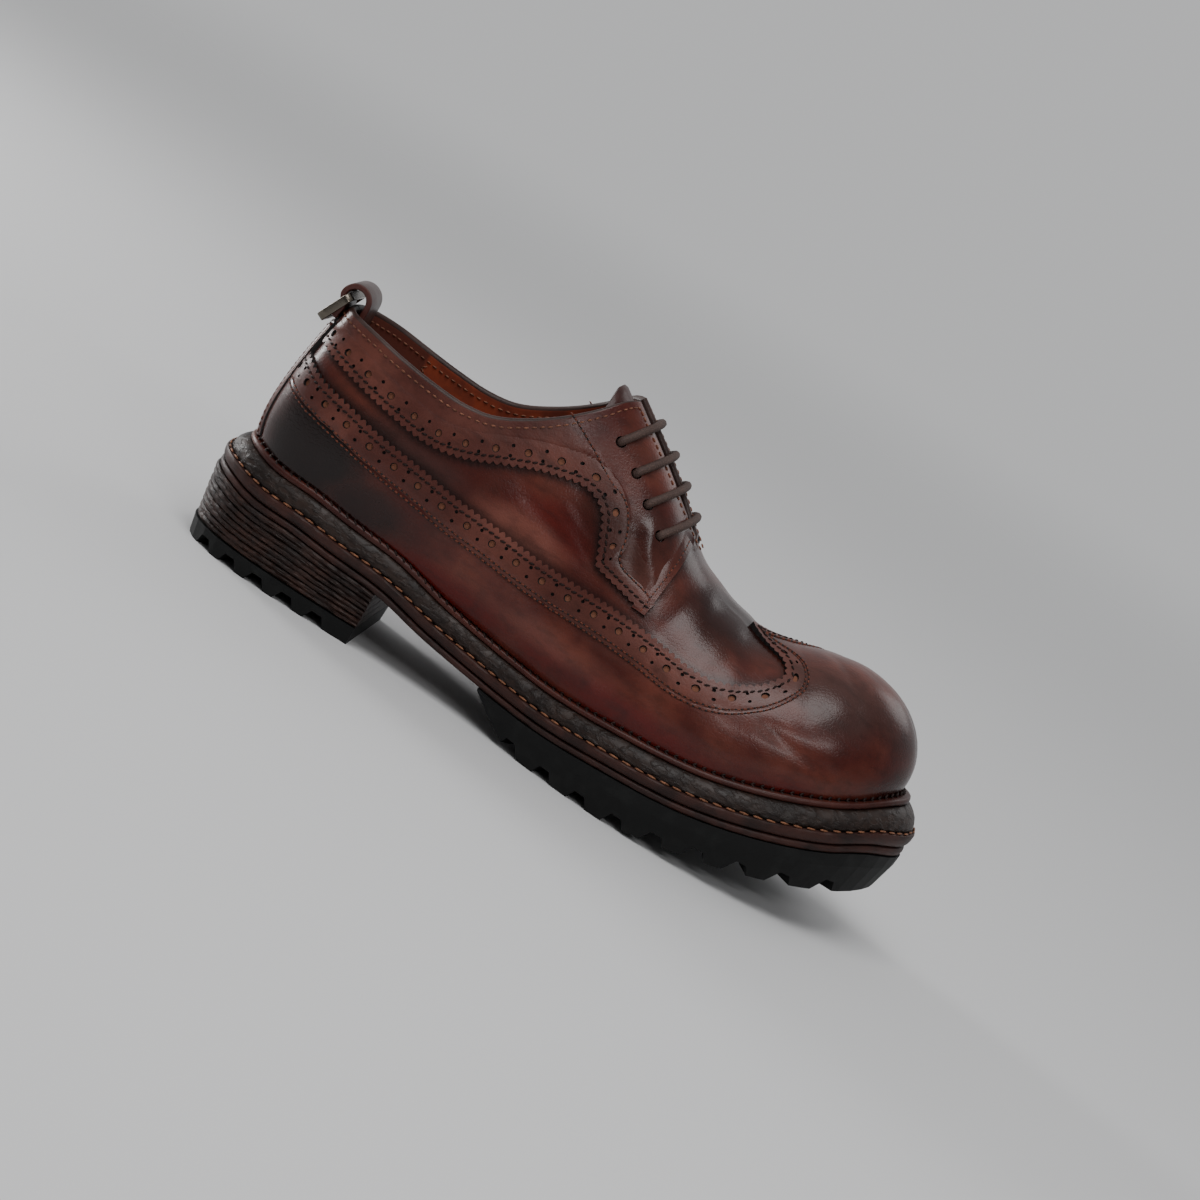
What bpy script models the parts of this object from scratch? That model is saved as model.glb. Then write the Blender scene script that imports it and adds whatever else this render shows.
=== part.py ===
"""Longwing brogue derby, left shoe: a lasted leather upper on a stacked, lugged sole.

The shoe stands in its own frame: +X runs from heel to toe, +Z is up and -Y is the medial
(inner) side. The origin is the middle of its footprint, on the ground.
Sizes below are in millimetres and become metres when a mesh is made.
"""

import math

import bmesh
import bpy
import numpy as np
from mathutils import Matrix, Vector
from mathutils.bvhtree import BVHTree

MM = 0.001

# Driving sizes
SOLE_LENGTH = 310.0          # outsole, heel back to toe tip
BALL_WIDTH = 116.5           # outsole at its widest
HEEL_SEAT_HEIGHT = 44.5      # feather line above the ground at the heel seat
BALL_HEIGHT = 30.6           # feather line above the ground at the ball
TOE_RISE = 34.0              # further rise of the feather line to the toe tip
INSTEP_HEIGHT = 134.5        # ridge of the last at the top of the facings
TOE_HEIGHT = 95.0            # ridge of the last over the toe box
COLLAR_HEIGHT = 108.0        # topline above the ground at the heel back
HEEL_LENGTH = 84.0           # heel back to heel breast
TREAD_RISE = 27.0            # outsole tread above the ground at the toe tip

# Walls, layers and clearances
FIT = 0.3                    # gap between pieces that touch
UPPER_WALL = 2.0
OVERLAY = 1.1                # wing cap and facings
STRAP = 1.1                  # back strap
TONGUE_WALL = 2.4
TONGUE_GAP = 1.8             # tongue to the inside of the facings
INSOLE_THICK = 3.2
INSOLE_CLEARANCE = 0.6       # insole edge to the inside of the upper
RAND = 2.6
TOP_MIDSOLE = 7.7
MIDSOLE = 5.0
RUNNER = 3.3
HEEL_TOP_PIECE = 7.7
LIFT_COUNT = 4
HEEL_TAPER = 4.0             # how far the heel draws in down to the ground
LUG_DEPTH = 4.3
LUG_PITCH = 16.8
LUG_COUNT = 9
LUG_LENGTH = 24.0            # how far a notch runs in from the edge
NOTCH_MOUTH = 8.6            # along the edge, at the ground
NOTCH_ROOT = 4.4             # along the edge, at the notch's root
FIRST_NOTCH = 3.0            # place of the rearmost forefoot notch along X
HEEL_NOTCH_PITCH = 14.0
HEEL_NOTCH_COUNT = 5
TREAD_START = -18.0          # where the forefoot rubber begins along X
TREAD_FLAT = (6.0, 45.0)     # the stretch of tread that lies on the ground
TREAD_FEATHER_EDGE = 1.6     # rubber at the place where it begins

# Throat, tongue, laces
THROAT_HALF_GAP = 8.0
THROAT_BOTTOM = 24.0         # along X
THROAT_BACK = -60.0          # behind this, the topline alone ends the upper
TONGUE_HALF_WIDTH = 22.0
TONGUE_START = 36.0          # ridge place under the vamp, along X
TONGUE_TOP = -32.0           # ridge place of its free end, along X
EYELET_RADIUS = 2.3
LACE_RADIUS = 1.65
LACE_CLEARANCE = 1.5         # lace to the facings, which are faceted
LACE_SLOPE = (0.8, -0.6)     # direction of the throat line in the side view
EYELETS = (                  # along X, height
    (-22.7, 121.6),
    (-11.2, 114.6),
    (-1.0, 107.0),
    (9.2, 99.4),
)

# Pull loop and ring
LOOP_WIDTH = 22.0
LOOP_THICK = 2.4
LOOP_RISE = 11.0             # top of the loop above the topline
LOOP_INSIDE = 8.8            # clear depth of the loop along X
LOOP_TAIL = 6.0              # how far its outer end runs down the heel
RING_LENGTH = 31.0           # across the shoe
RING_DROP = 15.6             # down the heel
RING_DEPTH = 3.4
RING_BAR = 1.6
RING_CORNER = 3.0
RING_TILT = 26.0             # degrees from straight down, at rest

# Mesh density
STATIONS = 36                # round one side, heel to toe
ROWS = 8                     # from the feather line to the ridge
END_CROWDING = 0.35
SAMPLES = 720

# Outline of the outsole. Columns: share of the length from the heel, share of the ball width
# (negative is medial). The rows run from the heel back along the medial side and home laterally.
SOLE_OUTLINE = (
    (0.000, 0.000),
    (0.020, -0.185),
    (0.078, -0.292),
    (0.160, -0.324),
    (0.268, -0.318),
    (0.371, -0.306),
    (0.468, -0.352),
    (0.565, -0.430),
    (0.661, -0.478),
    (0.758, -0.474),
    (0.848, -0.424),
    (0.926, -0.322),
    (0.977, -0.180),
    (1.000, -0.010),
    (0.985, 0.150),
    (0.940, 0.300),
    (0.868, 0.416),
    (0.771, 0.495),
    (0.668, 0.522),
    (0.565, 0.510),
    (0.461, 0.460),
    (0.355, 0.395),
    (0.258, 0.358),
    (0.160, 0.338),
    (0.078, 0.298),
    (0.020, 0.188),
)
TOE_ROW = 13
HEEL_CENTRE = -0.022 * BALL_WIDTH    # Y of the heel's middle, with the footprint's on Y = 0

# Welt width, upper to outsole edge. Columns: share of the way round a side, medial, lateral.
WELT_WIDTH = (
    (0.00, 11.2, 11.2),
    (0.10, 8.8, 8.8),
    (0.22, 7.2, 7.2),
    (0.38, 6.6, 7.0),
    (0.55, 9.0, 9.0),
    (0.75, 10.0, 10.0),
    (0.90, 12.6, 12.6),
    (1.00, 15.4, 15.4),
)

# Feather line height. Columns: share of the length, share of the heel's height over the ball,
# share of the toe rise.
FEATHER = (
    (0.000, 1.30, 0.000),
    (0.030, 1.20, 0.000),
    (0.071, 1.04, 0.000),
    (0.145, 1.00, 0.000),
    (0.194, 0.89, 0.000),
    (0.271, 0.74, 0.000),
    (0.355, 0.32, 0.000),
    (0.432, 0.10, 0.000),
    (0.519, 0.00, 0.000),
    (0.626, 0.00, 0.080),
    (0.748, 0.00, 0.230),
    (0.832, 0.00, 0.440),
    (0.913, 0.00, 0.720),
    (0.958, 0.00, 0.930),
    (1.000, 0.00, 1.020),
)

# The layers grow a little thicker at the toe. Columns: share of the length, factor.
LAYER_FLARE = (
    (0.00, 1.00),
    (0.80, 1.00),
    (0.92, 1.14),
    (1.00, 1.28),
)

# Tread of the forefoot past its flat. Columns: share from the flat to the toe tip, share of the rise.
TREAD_SPRING = (
    (0.00, 0.00),
    (0.10, 0.04),
    (0.35, 0.22),
    (0.58, 0.43),
    (0.79, 0.67),
    (0.91, 0.83),
    (1.00, 1.00),
)

# Ridge of the last in the side view. Columns: share of the length, share of the instep height.
RIDGE_HEIGHT = (
    (0.160, 1.200),
    (0.250, 1.195),
    (0.310, 1.160),
    (0.371, 1.095),
    (0.439, 0.990),
    (0.521, 0.852),
    (0.565, 0.766),
    (0.592, 0.721),
    (0.625, 0.690),
    (0.666, 0.664),
    (0.703, 0.646),
    (0.742, 0.656),
    (0.781, 0.682),
)
# The same ridge over the toe box. Columns: share of the length, share of the toe height.
RIDGE_TOE = (
    (0.815, 0.992),
    (0.840, 1.000),
    (0.860, 1.000),
)

# Where a rib that starts at a share of the way round a side meets the ridge.
# Columns: share of the way round, share of the length, sideways shift as a share of ball width.
RIDGE_PLACE = (
    (0.00, 0.178, 0.000),
    (0.12, 0.190, 0.000),
    (0.19, 0.216, 0.000),
    (0.28, 0.287, -0.004),
    (0.38, 0.384, -0.008),
    (0.47, 0.474, -0.012),
    (0.567, 0.565, -0.012),
    (0.66, 0.648, -0.010),
    (0.75, 0.722, -0.006),
    (0.833, 0.776, -0.004),
    (0.90, 0.806, 0.000),
    (0.957, 0.823, 0.000),
    (1.00, 0.829, 0.000),
)

# Form of the ribs. Columns: share of the way round, sideways power medial and lateral,
# upward power, bulge of the wall medial and lateral (mm).
RIBS = (
    (0.00, 0.72, 0.72, 1.00, 2.6, 2.6),
    (0.12, 0.72, 0.72, 1.00, 2.8, 2.8),
    (0.28, 0.76, 0.76, 1.00, 3.6, 3.4),
    (0.38, 0.80, 0.78, 1.00, 6.0, 4.2),
    (0.47, 0.84, 0.80, 0.98, 5.2, 3.6),
    (0.567, 0.88, 0.84, 0.96, 3.2, 2.8),
    (0.66, 0.88, 0.86, 0.94, 2.6, 2.6),
    (0.75, 0.90, 0.88, 0.94, 2.4, 2.6),
    (0.833, 0.94, 0.92, 0.97, 2.2, 2.4),
    (0.90, 0.97, 0.97, 1.00, 2.0, 2.0),
    (1.00, 1.00, 1.00, 1.00, 1.8, 1.8),
)
BULGE_HEIGHT = 20.0          # height above the feather line where the wall bulges most

# Topline. Columns: share of the length, share of the collar height.
COLLAR = (
    (0.020, 1.006),
    (0.060, 0.998),
    (0.100, 0.988),
    (0.145, 0.970),
    (0.194, 0.955),
    (0.245, 0.951),
    (0.275, 0.965),
    (0.320, 1.030),
    (0.355, 1.103),
    (0.387, 1.190),
    (0.405, 1.247),
    (0.418, 1.268),
    (0.440, 1.290),
)

# Lower edge of the facing and collar band in the side view, heel to front, then up the front.
# Columns: share of the length, share of the collar height.
FACING_EDGE = (
    (-0.020, 0.868),
    (0.037, 0.862),
    (0.070, 0.842),
    (0.122, 0.812),
    (0.171, 0.788),
    (0.223, 0.772),
    (0.250, 0.778),
    (0.276, 0.797),
    (0.320, 0.850),
    (0.368, 0.904),
    (0.394, 0.922),
    (0.418, 0.934),
    (0.442, 0.918),
    (0.460, 0.872),
    (0.468, 0.824),
    (0.479, 0.768),
    (0.483, 0.728),
    (0.569, 0.676),
    (0.571, 0.790),
    (0.571, 0.890),
    (0.565, 0.956),
    (0.557, 1.060),
)

# Upper edge of the wing in the side view, up to the front of the vamp notch.
# Columns: share of the length, share of the collar height.
WING_EDGE = (
    (-0.020, 0.812),
    (0.034, 0.800),
    (0.070, 0.762),
    (0.122, 0.738),
    (0.171, 0.712),
    (0.245, 0.688),
    (0.294, 0.668),
    (0.368, 0.652),
    (0.416, 0.640),
    (0.468, 0.638),
    (0.521, 0.642),
    (0.576, 0.636),
    (0.616, 0.625),
    (0.641, 0.616),
    (0.682, 0.619),
    (0.706, 0.640),
    (0.737, 0.684),
    (0.753, 0.716),
    (0.760, 0.760),
)
# Front of the vamp notch in plan, round the wing's peak.
# Columns: share of the length, share of the ball width.
WING_PEAK = (
    (0.760, -0.300),
    (0.746, -0.206),
    (0.720, -0.150),
    (0.697, -0.108),
    (0.682, -0.072),
    (0.697, -0.032),
    (0.720, 0.012),
    (0.746, 0.075),
    (0.760, 0.180),
)

# Half width of the back strap. Columns: share of the collar height, half width (mm).
STRAP_HALF_WIDTH = (
    (0.40, 17.0),
    (0.56, 14.0),
    (0.74, 11.6),
    (1.10, 10.8),
)
STRAP_TOP = 0.945            # share of the collar height

COLOURS = {                  # linear colour, roughness, metallic
    "rubber": ((0.012, 0.011, 0.011), 0.75, 0.0),
    "edge_brown": ((0.060, 0.022, 0.016), 0.60, 0.0),
    "edge_grey": ((0.045, 0.036, 0.032), 0.55, 0.0),
    "rand_red": ((0.110, 0.022, 0.013), 0.40, 0.0),
    "upper_leather": ((0.090, 0.022, 0.014), 0.30, 0.0),
    "lining": ((0.210, 0.055, 0.022), 0.70, 0.0),
    "lace": ((0.085, 0.055, 0.045), 0.80, 0.0),
    "gunmetal": ((0.110, 0.100, 0.085), 0.35, 1.0),
}


def along(share):
    """X of a share of the sole's length."""
    return (share - 0.5) * SOLE_LENGTH


def slopes(xs, ys):
    """Slope of a smooth curve at each row of a table."""
    steps = np.diff(ys) / np.diff(xs)
    inner = (steps[:-1] * np.diff(xs)[1:] + steps[1:] * np.diff(xs)[:-1]) / (xs[2:] - xs[:-2])
    return np.concatenate(([steps[0]], inner, [steps[-1]]))


def smooth(xs, ys, x):
    """Value at x of the smooth curve through a table's rows, straight beyond its ends."""
    xs = np.asarray(xs, float)
    ys = np.asarray(ys, float)
    tangents = slopes(xs, ys)
    if x <= xs[0]:
        return float(ys[0] + tangents[0] * (x - xs[0]))
    if x >= xs[-1]:
        return float(ys[-1] + tangents[-1] * (x - xs[-1]))
    k = int(np.searchsorted(xs, x)) - 1
    width = xs[k + 1] - xs[k]
    s = (x - xs[k]) / width
    return float(
        ys[k] * (1 + 2 * s) * (1 - s) ** 2
        + ys[k + 1] * s * s * (3 - 2 * s)
        + tangents[k] * width * s * (1 - s) ** 2
        + tangents[k + 1] * width * s * s * (s - 1)
    )


def column(table, index):
    """One named column of a table."""
    return [row[index] for row in table]


def read_table(table, index, x):
    """Smooth value of a table's column at x."""
    return smooth(column(table, 0), column(table, index), x)


def closed_spline(points, per_span):
    """Points and tangents of the smooth closed curve through the given points."""
    knots = np.asarray(points, float)
    count = len(knots)
    chords = np.linalg.norm(np.roll(knots, -1, axis=0) - knots, axis=1)
    system = np.zeros((count, count))
    right = np.zeros((count, 2))
    for i in range(count):
        before = chords[i - 1]
        after = chords[i]
        system[i, (i - 1) % count] = after
        system[i, i] = 2 * (before + after)
        system[i, (i + 1) % count] = before
        rise_before = (knots[i] - knots[i - 1]) / before
        rise_after = (knots[(i + 1) % count] - knots[i]) / after
        right[i] = 3 * (after * rise_before + before * rise_after)
    tangents = np.linalg.solve(system, right)
    places = []
    for i in range(count):
        j = (i + 1) % count
        width = chords[i]
        for s in np.linspace(0.0, 1.0, per_span, endpoint=False):
            places.append(
                knots[i] * (1 + 2 * s) * (1 - s) ** 2
                + knots[j] * s * s * (3 - 2 * s)
                + tangents[i] * width * s * (1 - s) ** 2
                + tangents[j] * width * s * s * (s - 1)
            )
    return np.array(places)


def split_outline():
    """The outsole's two sides, each from heel back to toe tip: arc shares, points, normals."""
    per_span = 40
    knots = [(along(x), y * BALL_WIDTH + HEEL_CENTRE) for x, y in SOLE_OUTLINE]
    loop = closed_spline(knots, per_span)
    toe = TOE_ROW * per_span
    arcs = {-1: loop[: toe + 1], 1: np.vstack((loop[toe:], loop[:1]))[::-1]}
    sides = {}
    for side, points in arcs.items():
        lengths = np.linalg.norm(np.diff(points, axis=0), axis=1)
        shares = np.concatenate(([0.0], np.cumsum(lengths)))
        shares /= shares[-1]
        even = np.linspace(0.0, 1.0, SAMPLES)
        places = np.column_stack([np.interp(even, shares, points[:, k]) for k in (0, 1)])
        runs = np.gradient(places, axis=0)
        runs /= np.linalg.norm(runs, axis=1)[:, None]
        outward = np.column_stack((runs[:, 1], -runs[:, 0])) * (-side)
        outward[0] = (-1.0, 0.0)
        outward[-1] = (1.0, 0.0)
        sides[side] = (even, places, outward)
    return sides


SIDES = split_outline()


def outline_point(share, side, inset):
    """Point of the outsole's outline, moved in by inset."""
    even, places, outward = SIDES[side]
    x = np.interp(share, even, places[:, 0])
    y = np.interp(share, even, places[:, 1])
    nx, ny = outline_normal(share, side)
    return x - nx * inset, y - ny * inset


def outline_normal(share, side):
    """Outward direction of the outline."""
    even, _, outward = SIDES[side]
    nx = np.interp(share, even, outward[:, 0])
    ny = np.interp(share, even, outward[:, 1])
    length = math.hypot(nx, ny)
    return nx / length, ny / length


def welt_width(share, side):
    """Distance from the outsole's edge to the upper."""
    return read_table(WELT_WIDTH, 1 if side < 0 else 2, share)


def feather_height(x):
    """Top of the rand, where the upper meets the sole."""
    share = x / SOLE_LENGTH + 0.5
    heel = read_table(FEATHER, 1, share) * (HEEL_SEAT_HEIGHT - BALL_HEIGHT)
    toe = read_table(FEATHER, 2, share) * TOE_RISE
    return BALL_HEIGHT + heel + toe


def layer_height(x, depth):
    """Height of the surface that lies a depth of layers below the feather line."""
    return feather_height(x) - depth * read_table(LAYER_FLARE, 1, x / SOLE_LENGTH + 0.5)


RAND_BASE = RAND
TOP_MIDSOLE_BASE = RAND_BASE + TOP_MIDSOLE
MIDSOLE_BASE = TOP_MIDSOLE_BASE + MIDSOLE
RUNNER_BASE = MIDSOLE_BASE + RUNNER


def tread_height(x):
    """Underside of the forefoot rubber."""
    flat_back, flat_front = TREAD_FLAT
    if x < flat_back:
        start = layer_height(TREAD_START, RUNNER_BASE) - FIT - TREAD_FEATHER_EDGE
        share = (flat_back - x) / (flat_back - TREAD_START)
        return start * share ** 1.25
    if x <= flat_front:
        return 0.0
    share = (x - flat_front) / (along(1.0) - flat_front)
    return max(0.0, read_table(TREAD_SPRING, 1, share)) * TREAD_RISE


def ridge_height(x):
    """Height of the last's ridge."""
    rows = [(along(share), rise * INSTEP_HEIGHT) for share, rise in RIDGE_HEIGHT]
    rows += [(along(share), rise * TOE_HEIGHT) for share, rise in RIDGE_TOE]
    return smooth(column(rows, 0), column(rows, 1), x)


def ridge_point(share):
    """Point of the ridge that the ribs at a share of the way round meet."""
    x = along(read_table(RIDGE_PLACE, 1, share))
    medial = feather_point(share, -1)
    lateral = feather_point(share, 1)
    y = (medial[1] + lateral[1]) / 2 + read_table(RIDGE_PLACE, 2, share) * BALL_WIDTH
    return x, y, ridge_height(x)


def feather_point(share, side):
    """Foot of a rib in plan."""
    return outline_point(share, side, welt_width(share, side))


class Rib:
    """One rib of the last's surface, from the feather line (0) up to the ridge (1)."""

    def __init__(self, share, side):
        self.side = side
        self.foot = feather_point(share, side)
        self.base = feather_height(self.foot[0]) + FIT
        self.ridge = ridge_point(share)
        self.slope = (ridge_height(self.ridge[0] + 1.0) - ridge_height(self.ridge[0] - 1.0)) / 2
        self.outward = outline_normal(share, side)
        self.sideways = read_table(RIBS, 1 if side < 0 else 2, share)
        self.upward = read_table(RIBS, 3, share)
        self.bulge = read_table(RIBS, 4 if side < 0 else 5, share)

    def point(self, height):
        """Point of the outer face of the upper at a share of the rib."""
        angle = height * math.pi / 2
        reach = max(0.0, math.cos(angle)) ** self.sideways
        rise = math.sin(angle) ** self.upward
        x = self.ridge[0] + (self.foot[0] - self.ridge[0]) * reach
        y = self.ridge[1] + (self.foot[1] - self.ridge[1]) * reach
        top = self.ridge[2] + self.slope * (x - self.ridge[0])
        z = self.base + (top - self.base) * rise
        level = (z - self.base) / BULGE_HEIGHT
        swell = self.bulge * level * math.exp(1 - level) * reach
        return Vector((x + self.outward[0] * swell, y + self.outward[1] * swell, z))

    def find(self, over):
        """Lowest share of the rib at which the test value turns positive, or 1."""
        low = 0.0
        high = 1.0
        if over(self.point(1.0)) < 0:
            return 1.0
        for _ in range(40):
            middle = (low + high) / 2
            if over(self.point(middle)) < 0:
                low = middle
            else:
                high = middle
        return high


def collar_height(x):
    """Height of the topline."""
    return read_table(COLLAR, 1, x / SOLE_LENGTH + 0.5) * COLLAR_HEIGHT


def throat_half_gap(x):
    """Half the gap between the facings at a place of the ridge."""
    room = THROAT_BOTTOM - x
    if room <= 0:
        return 0.0
    return THROAT_HALF_GAP * min(1.0, room / 18.0) ** 0.6


def rib_top(rib):
    """Share of a rib at which the upper ends."""
    at_collar = rib.find(lambda p: p.z - collar_height(p.x))
    gap = throat_half_gap(rib.ridge[0])
    if gap == 0.0 or rib.ridge[0] < THROAT_BACK:
        return at_collar
    at_throat = rib.find(lambda p: gap - abs(p.y - rib.ridge[1]))
    return min(at_collar, at_throat)


def station_shares(count, crowding):
    """Shares of the way round a side, closer together at heel and toe."""
    even = np.linspace(0.0, 1.0, count + 1)
    return (1 - crowding) * even + crowding * (1 - np.cos(np.pi * even)) / 2


def new_collection(name):
    """A collection linked to the scene."""
    collection = bpy.data.collections.new(name)
    bpy.context.scene.collection.children.link(collection)
    return collection


def clear_scene():
    """Remove the objects that a new scene holds."""
    for item in list(bpy.data.objects):
        bpy.data.objects.remove(item, do_unlink=True)


def make_material(name):
    """A Principled material of one of the named colours."""
    if name in bpy.data.materials:
        return bpy.data.materials[name]
    colour, roughness, metallic = COLOURS[name]
    material = bpy.data.materials.new(name)
    material.use_nodes = True
    shader = material.node_tree.nodes["Principled BSDF"]
    shader.inputs["Base Color"].default_value = (*colour, 1.0)
    shader.inputs["Roughness"].default_value = roughness
    shader.inputs["Metallic"].default_value = metallic
    return material


class Workshop:
    """Makes objects in the shoe's collection, and cutters in their own."""

    def __init__(self):
        self.parts = new_collection("brogue_shoe")
        self.cutters = new_collection("cutters")

    def add(self, name, bm, material):
        """Turn a bmesh in millimetres into a named object."""
        bmesh.ops.scale(bm, vec=(MM, MM, MM), verts=bm.verts)
        mesh = bpy.data.meshes.new(name)
        bm.to_mesh(mesh)
        bm.free()
        item = bpy.data.objects.new(name, mesh)
        if material is None:
            self.cutters.objects.link(item)
            item.hide_render = True
            item.display_type = "WIRE"
        else:
            mesh.materials.append(make_material(material))
            self.parts.objects.link(item)
            mesh.shade_smooth()
            mesh.set_sharp_from_angle(angle=math.radians(40))
        return item

    def cutter(self, name, bm):
        """A cutter from a bmesh in millimetres."""
        return self.add(name, bm, None)


def boolean(item, cutter, operation, crossing=False):
    """Cut an object with a cutter, or keep what the cutter holds.

    Crossing says that the cutter's own bodies cross each other.
    """
    modifier = item.modifiers.new(operation.lower() + "_" + cutter.name, "BOOLEAN")
    modifier.operation = operation
    modifier.solver = "EXACT"
    modifier.use_self = crossing
    modifier.object = cutter


def face_outwards(bm):
    """Turn a closed mesh's faces outwards."""
    bmesh.ops.recalc_face_normals(bm, faces=bm.faces)
    if bm.calc_volume(signed=True) < 0:
        bmesh.ops.reverse_faces(bm, faces=bm.faces)


def weld_points(bm):
    """Join points that coincide."""
    bmesh.ops.remove_doubles(bm, verts=bm.verts, dist=0.02)


def outward_moves(bm, distance):
    """Moves of a surface's points along their normals; the foot stays on the rand."""
    bm.normal_update()
    foot = bm.verts.layers.int.get("foot")
    moves = {}
    for vertex in bm.verts:
        move = vertex.normal * distance * min(vertex.calc_shell_factor(), 1.1)
        if foot is not None and vertex[foot]:
            move.z = feather_height(vertex.co.x + move.x) + FIT - vertex.co.z
        moves[vertex] = move
    return moves


def shift_surface(bm, distance):
    """Move a surface along its own normals."""
    for vertex, move in outward_moves(bm, distance).items():
        vertex.co += move


def thicken(bm, thickness):
    """Close a surface with a second one, out by the thickness (in, if negative)."""
    moves = outward_moves(bm, thickness)
    faces = list(bm.faces)
    rims = [edge.link_loops[0] for edge in bm.edges if edge.is_boundary]
    rim_ends = [(loop.vert, loop.link_loop_next.vert) for loop in rims]
    copies = {vertex: bm.verts.new(vertex.co + move) for vertex, move in moves.items()}
    for face in faces:
        bm.faces.new([copies[vertex] for vertex in reversed(face.verts)])
    for start, end in rim_ends:
        bm.faces.new((end, start, copies[start], copies[end]))
    face_outwards(bm)


def grid_faces(bm, columns, flip):
    """Faces between neighbouring columns of points."""
    for left, right in zip(columns, columns[1:]):
        for j in range(len(left) - 1):
            corners = [left[j], right[j], right[j + 1], left[j + 1]]
            if flip:
                corners.reverse()
            bm.faces.new(corners)


def upper_surface(distance, reach=1.0):
    """Open surface of the upper's outer face, moved out by distance.

    Reach is how far it goes from the heel, as a share of the way round.
    """
    bm = bmesh.new()
    foot = bm.verts.layers.int.new("foot")
    for side in (-1, 1):
        columns = []
        for share in station_shares(STATIONS, END_CROWDING):
            if share > reach:
                break
            rib = Rib(share, side)
            top = rib_top(rib)
            columns.append([bm.verts.new(rib.point(top * j / ROWS)) for j in range(ROWS + 1)])
            columns[-1][0][foot] = 1
        grid_faces(bm, columns, flip=side > 0)
    weld_points(bm)
    bmesh.ops.triangulate(bm, faces=bm.faces, quad_method="FIXED")
    shift_surface(bm, distance)
    return bm


def make_upper(shop):
    """The lasted upper: one wall, open at the collar, throat and underneath."""
    bm = upper_surface(0.0)
    thicken(bm, -UPPER_WALL)
    return shop.add("upper", bm, "upper_leather")


def make_shell(shop, name, distance, thickness, reach=1.0):
    """A skin between two larger forms of the upper."""
    bm = upper_surface(distance, reach)
    thicken(bm, thickness)
    return shop.add(name, bm, "upper_leather")


def side_prism(points, low, high):
    """Closed prism of a side-view outline (x, z) between two places across the shoe."""
    bm = bmesh.new()
    near = [bm.verts.new((x, low, z)) for x, z in points]
    far = [bm.verts.new((x, high, z)) for x, z in points]
    close_prism(bm, near, far)
    return bm


def plan_prism(points, low, high):
    """Closed prism of a plan outline (x, y) between two heights."""
    bm = bmesh.new()
    near = [bm.verts.new((x, y, low)) for x, y in points]
    far = [bm.verts.new((x, y, high)) for x, y in points]
    close_prism(bm, near, far)
    return bm


def back_prism(points, low, high):
    """Closed prism of a back-view outline (y, z) between two places along the shoe."""
    bm = bmesh.new()
    near = [bm.verts.new((low, y, z)) for y, z in points]
    far = [bm.verts.new((high, y, z)) for y, z in points]
    close_prism(bm, near, far)
    return bm


def close_prism(bm, near, far):
    """Walls and ends between two copies of an outline, faces outwards."""
    bm.faces.new(near)
    bm.faces.new(far)
    count = len(near)
    for i in range(count):
        j = (i + 1) % count
        bm.faces.new((near[i], near[j], far[j], far[i]))
    face_outwards(bm)


def make_wing_cap(shop):
    """Wing cap with its long wings, cut from a skin over the upper."""
    item = make_shell(shop, "wing_cap", FIT, OVERLAY)
    edge = [(along(x), z * COLLAR_HEIGHT) for x, z in WING_EDGE]
    ceiling = 3 * COLLAR_HEIGHT
    above = shop.cutter(
        "above_wing",
        side_prism(edge + [(edge[-1][0], ceiling), (edge[0][0], ceiling)], -BALL_WIDTH, BALL_WIDTH),
    )
    peak = [(along(x), y * BALL_WIDTH) for x, y in WING_PEAK]
    back = along(-0.1)
    behind = shop.cutter(
        "behind_peak",
        plan_prism(
            [(back, -BALL_WIDTH), (peak[0][0], -BALL_WIDTH)]
            + peak
            + [(peak[-1][0], BALL_WIDTH), (back, BALL_WIDTH)],
            -5.0,
            2 * COLLAR_HEIGHT,
        ),
    )
    boolean(above, behind, "INTERSECT")
    boolean(item, above, "DIFFERENCE")
    return item


def make_facings(shop):
    """Collar band and facing of each side, cut from a skin over the upper."""
    edge = [(along(x), z * COLLAR_HEIGHT) for x, z in FACING_EDGE]
    ceiling = 2 * COLLAR_HEIGHT
    outline = edge + [(edge[-1][0], ceiling), (edge[0][0], ceiling)]
    facings = {}
    for side, name in ((-1, "facing_medial"), (1, "facing_lateral")):
        item = make_shell(shop, name, FIT, OVERLAY)
        bounds = sorted((HEEL_CENTRE + side * FIT / 2, side * BALL_WIDTH))
        keep = shop.cutter("keep_" + name, side_prism(outline, *bounds))
        boolean(item, keep, "INTERSECT")
        facings[side] = item
    return facings


def make_heel_strap(shop):
    """Back strap over the heel seam."""
    distance = FIT + OVERLAY + FIT
    item = make_shell(shop, "heel_strap", distance, STRAP, reach=0.2)
    rows = [(z * COLLAR_HEIGHT, half) for z, half in STRAP_HALF_WIDTH]
    top = STRAP_TOP * COLLAR_HEIGHT
    heights = np.linspace(rows[0][0], top, 9)
    halves = [smooth(column(rows, 0), column(rows, 1), z) for z in heights]
    low = heights[0] - 10.0
    right = [(halves[0], low)] + list(zip(halves, heights))
    left = [(-y, z) for y, z in reversed(right)]
    outline = [(y + HEEL_CENTRE, z) for y, z in right + left]
    keep = shop.cutter("keep_strap", back_prism(outline, along(-0.1), along(0.12)))
    boolean(item, keep, "INTERSECT")
    return item


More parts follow.
